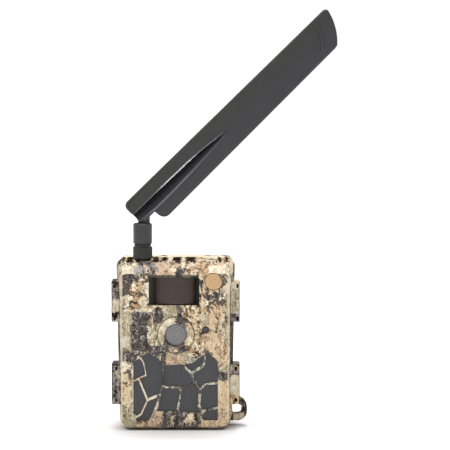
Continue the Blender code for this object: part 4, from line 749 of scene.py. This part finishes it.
def plate(name, outline, y_low, y_high, body, slot, finish=None):
    """A raised mark: an outline of x and z pushed along Y, all in millimetres."""
    shape = bmesh.new()
    rings = [[shape.verts.new(Vector((x, y, z)) * MM) for x, z in outline] for y in (y_low, y_high)]
    count = len(outline)
    for k in range(count):
        shape.faces.new((rings[0][k], rings[0][(k + 1) % count], rings[1][(k + 1) % count], rings[1][k]))
    shape.faces.new(rings[0])
    shape.faces.new(rings[1])
    bmesh.ops.recalc_face_normals(shape, faces=shape.faces)
    mesh = bpy.data.meshes.new(name)
    shape.to_mesh(mesh)
    shape.free()
    return piece_of(name, mesh, body, slot, finish=finish)


def on_blade(across, depth, along):
    """A point of the upright paddle, seen from its pivot, as it stands at rest."""
    turned = Matrix.Rotation(math.radians(LEAN), 3, "Y") @ Vector((across, depth, along))
    return Vector(PIVOT) + turned


# Beads on the paddle, in millimetres: their depth from its middle, just under its faces, and their radii
PADDLE_FACE = 3.4
RIDGE_RADIUS, SEAM_RADIUS = 0.75, 0.3
# The seam's place across and along the paddle: down its left side and round the corner of its lower end
SEAM = [(-15.6, 46.0), (-15.6, 20.0), (-15.5, 0.0), (-14.9, -1.8), (-13.6, -3.0), (-12.0, -3.4),
        (-7.6, -3.4)]


def paddle_beads():
    """The ridge beside the channel and the seam that follows the rounded end, on both faces."""
    ridge = [(left, along) for along, left, _ in CHANNEL]
    for depth, label in ((-PADDLE_FACE, "front"), (PADDLE_FACE, "back")):
        bead(f"paddle_ridge_{label}", [on_blade(across, depth, along) for across, along in ridge],
             RIDGE_RADIUS, "antenna_blade", "antenna_plastic", finish=RIDGE)
        bead(f"paddle_seam_{label}", [on_blade(across, depth, along) for across, along in SEAM],
             SEAM_RADIUS, "antenna_blade", "antenna_plastic", finish=GLOSS)


# Marks on the keys, in millimetres: an arrow's corners as reach and angle, and how far it stands out
ARROW = ((2.2, 0), (1.9, 130), (0.5, 180), (1.9, 230))
MARK_HEIGHT = 0.2
RING_RADIUS, RING_BEAD, RING_POINTS = 1.7, 0.25, 24


def key_marks():
    """Raised marks on the keys: an arrow on each of four and an open ring on the middle one."""
    for name, turn in (("up", 0), ("left", 90), ("down", 180), ("right", 270)):
        button = f"button_{name}"
        middle, face_y = middle_of(button), high_corner(button).y
        corners = []
        for reach, angle in ARROW:
            a = math.radians(angle + turn)
            corners.append((middle.x - reach * math.sin(a), middle.z + reach * math.cos(a)))
        plate(f"key_mark_{name}", corners, face_y - MARK_HEIGHT, face_y + MARK_HEIGHT, BODY_OF[button],
              "key_rubber", KEY_WHITE)
    middle, face_y = middle_of("button_ok"), high_corner("button_ok").y
    turns = [2 * math.pi * k / RING_POINTS for k in range(RING_POINTS)]
    ring = [(middle.x + RING_RADIUS * math.cos(a), face_y, middle.z + RING_RADIUS * math.sin(a))
            for a in turns]
    bead("key_mark_ok", ring, RING_BEAD, BODY_OF["button_ok"], "key_rubber", finish=KEY_WHITE)


# Ribs on a lever's tail, in millimetres: the first one's place before the tail's end, how far they sink in,
# and the margin at their ends
GRIP_ROWS, GRIP_PITCH, GRIP_RADIUS, GRIP_POINTS = 4, 1.5, 0.35, 7
GRIP_FIRST, GRIP_SINK, GRIP_MARGIN = 3.2, 0.1, 1.5


def lever_grips():
    """Ribs on the tails of the latch levers."""
    for name in ("latch_lever_upper", "latch_lever_lower"):
        low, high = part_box(name)
        x = high.x / MM - GRIP_SINK
        z_low, z_high = low.z / MM + GRIP_MARGIN, high.z / MM - GRIP_MARGIN
        for row in range(GRIP_ROWS):
            y = high.y / MM - GRIP_FIRST - GRIP_PITCH * row
            path = [(x, y, z_low + (z_high - z_low) * k / (GRIP_POINTS - 1)) for k in range(GRIP_POINTS)]
            bead(f"{name}_grip_{row}", path, GRIP_RADIUS, BODY_OF[name], "black_plastic", sides=6)


for name, node in frame["nodes"].items():
    node.data.materials.clear()
    node.data.materials.append(FINISHES[SLOT_OF[name]])
for name, radius in ROUNDED.items():
    rounded_copy(name, radius)
paddle_beads()
key_marks()
lever_grips()


# Studio --------------------------------------------------------------------------------------

# Strength of the surround low in front, overhead and at the horizon
SKY_FRONT, SKY_TOP, SKY_HORIZON = 0.25, 4.0, 1.05
FLOOR_RADIUS = 9.0
# Lamps: name, place and diameter in metres, and power in watts. All point at LAMP_AIM.
LAMPS = (("key", (-1.3, -1.6, 1.9), 0.8, 8), ("top", (0.1, 0.75, 2.3), 0.9, 16))
LAMP_AIM = Vector((0.03, -0.02, 0.12))
# The camera: the point it looks at and its distance in metres, its pitch in degrees and its lens in mm
TARGET, DISTANCE, PITCH = Vector((0.0432, -0.030, 0.1775)), 2.0, 5
FOCAL_LENGTH, SENSOR_WIDTH = 184.33, 36


def surround():
    """Light that comes mostly from above and behind, with a white horizon behind the object."""
    world = bpy.data.worlds.new("studio")
    world.use_nodes = True
    bpy.context.scene.world = world
    g = Nodes(world.node_tree)
    way = g.node("TexCoord", {}, "Generated")
    overhead = g.math("MAXIMUM", g.vector("DOT_PRODUCT", way, (0.0, 0.14, 0.99)), 0.0)
    lobe = g.math("MULTIPLY", g.math("POWER", overhead, 5.0), SKY_TOP)
    level = g.math("ADD", g.span(g.parts(way)[2], 0.14, 0.02, SKY_FRONT, SKY_HORIZON), lobe)
    shade = g.tree.nodes["Background"]
    shade.inputs["Color"].default_value = (1.0, 1.0, 1.0, 1)
    g.feed(shade.inputs["Strength"], level)


def studio():
    """A pale floor and broad soft lamps."""
    surround()
    mesh = bpy.data.meshes.new("floor")
    shape = bmesh.new()
    bmesh.ops.create_circle(shape, cap_ends=True, segments=96, radius=FLOOR_RADIUS)
    shape.to_mesh(mesh)
    shape.free()
    floor = bpy.data.objects.new("floor", mesh)
    floor.location = (0, 0, cad_low.z)
    bpy.context.scene.collection.objects.link(floor)
    g = Graph("floor", 0.8)
    grain = g.noise(g.place, 0.02, 3, 0.5)
    g.set(Base_Color=g.mix(grain, (0.84, 0.84, 0.835, 1), (0.87, 0.87, 0.865, 1)))
    mesh.materials.append(g.material)
    for name, place, size, power in LAMPS:
        light = bpy.data.lights.new(name, "AREA")
        light.shape = "DISK"
        light.size = size
        light.energy = power
        lamp = bpy.data.objects.new(name, light)
        lamp.location = place
        lamp.rotation_euler = (LAMP_AIM - Vector(place)).to_track_quat("-Z", "Y").to_euler()
        bpy.context.scene.collection.objects.link(lamp)


def camera():
    """The photograph's view: from in front, a little above."""
    data = bpy.data.cameras.new("camera")
    data.lens = FOCAL_LENGTH
    data.sensor_width = SENSOR_WIDTH
    eye = bpy.data.objects.new("camera", data)
    pitch = math.radians(PITCH)
    eye.location = TARGET + Vector((0, -math.cos(pitch), math.sin(pitch))) * DISTANCE
    eye.rotation_euler = (TARGET - eye.location).to_track_quat("-Z", "Y").to_euler()
    bpy.context.scene.collection.objects.link(eye)
    bpy.context.scene.camera = eye


studio()
camera()
bpy.context.scene.view_settings.view_transform = "Standard"
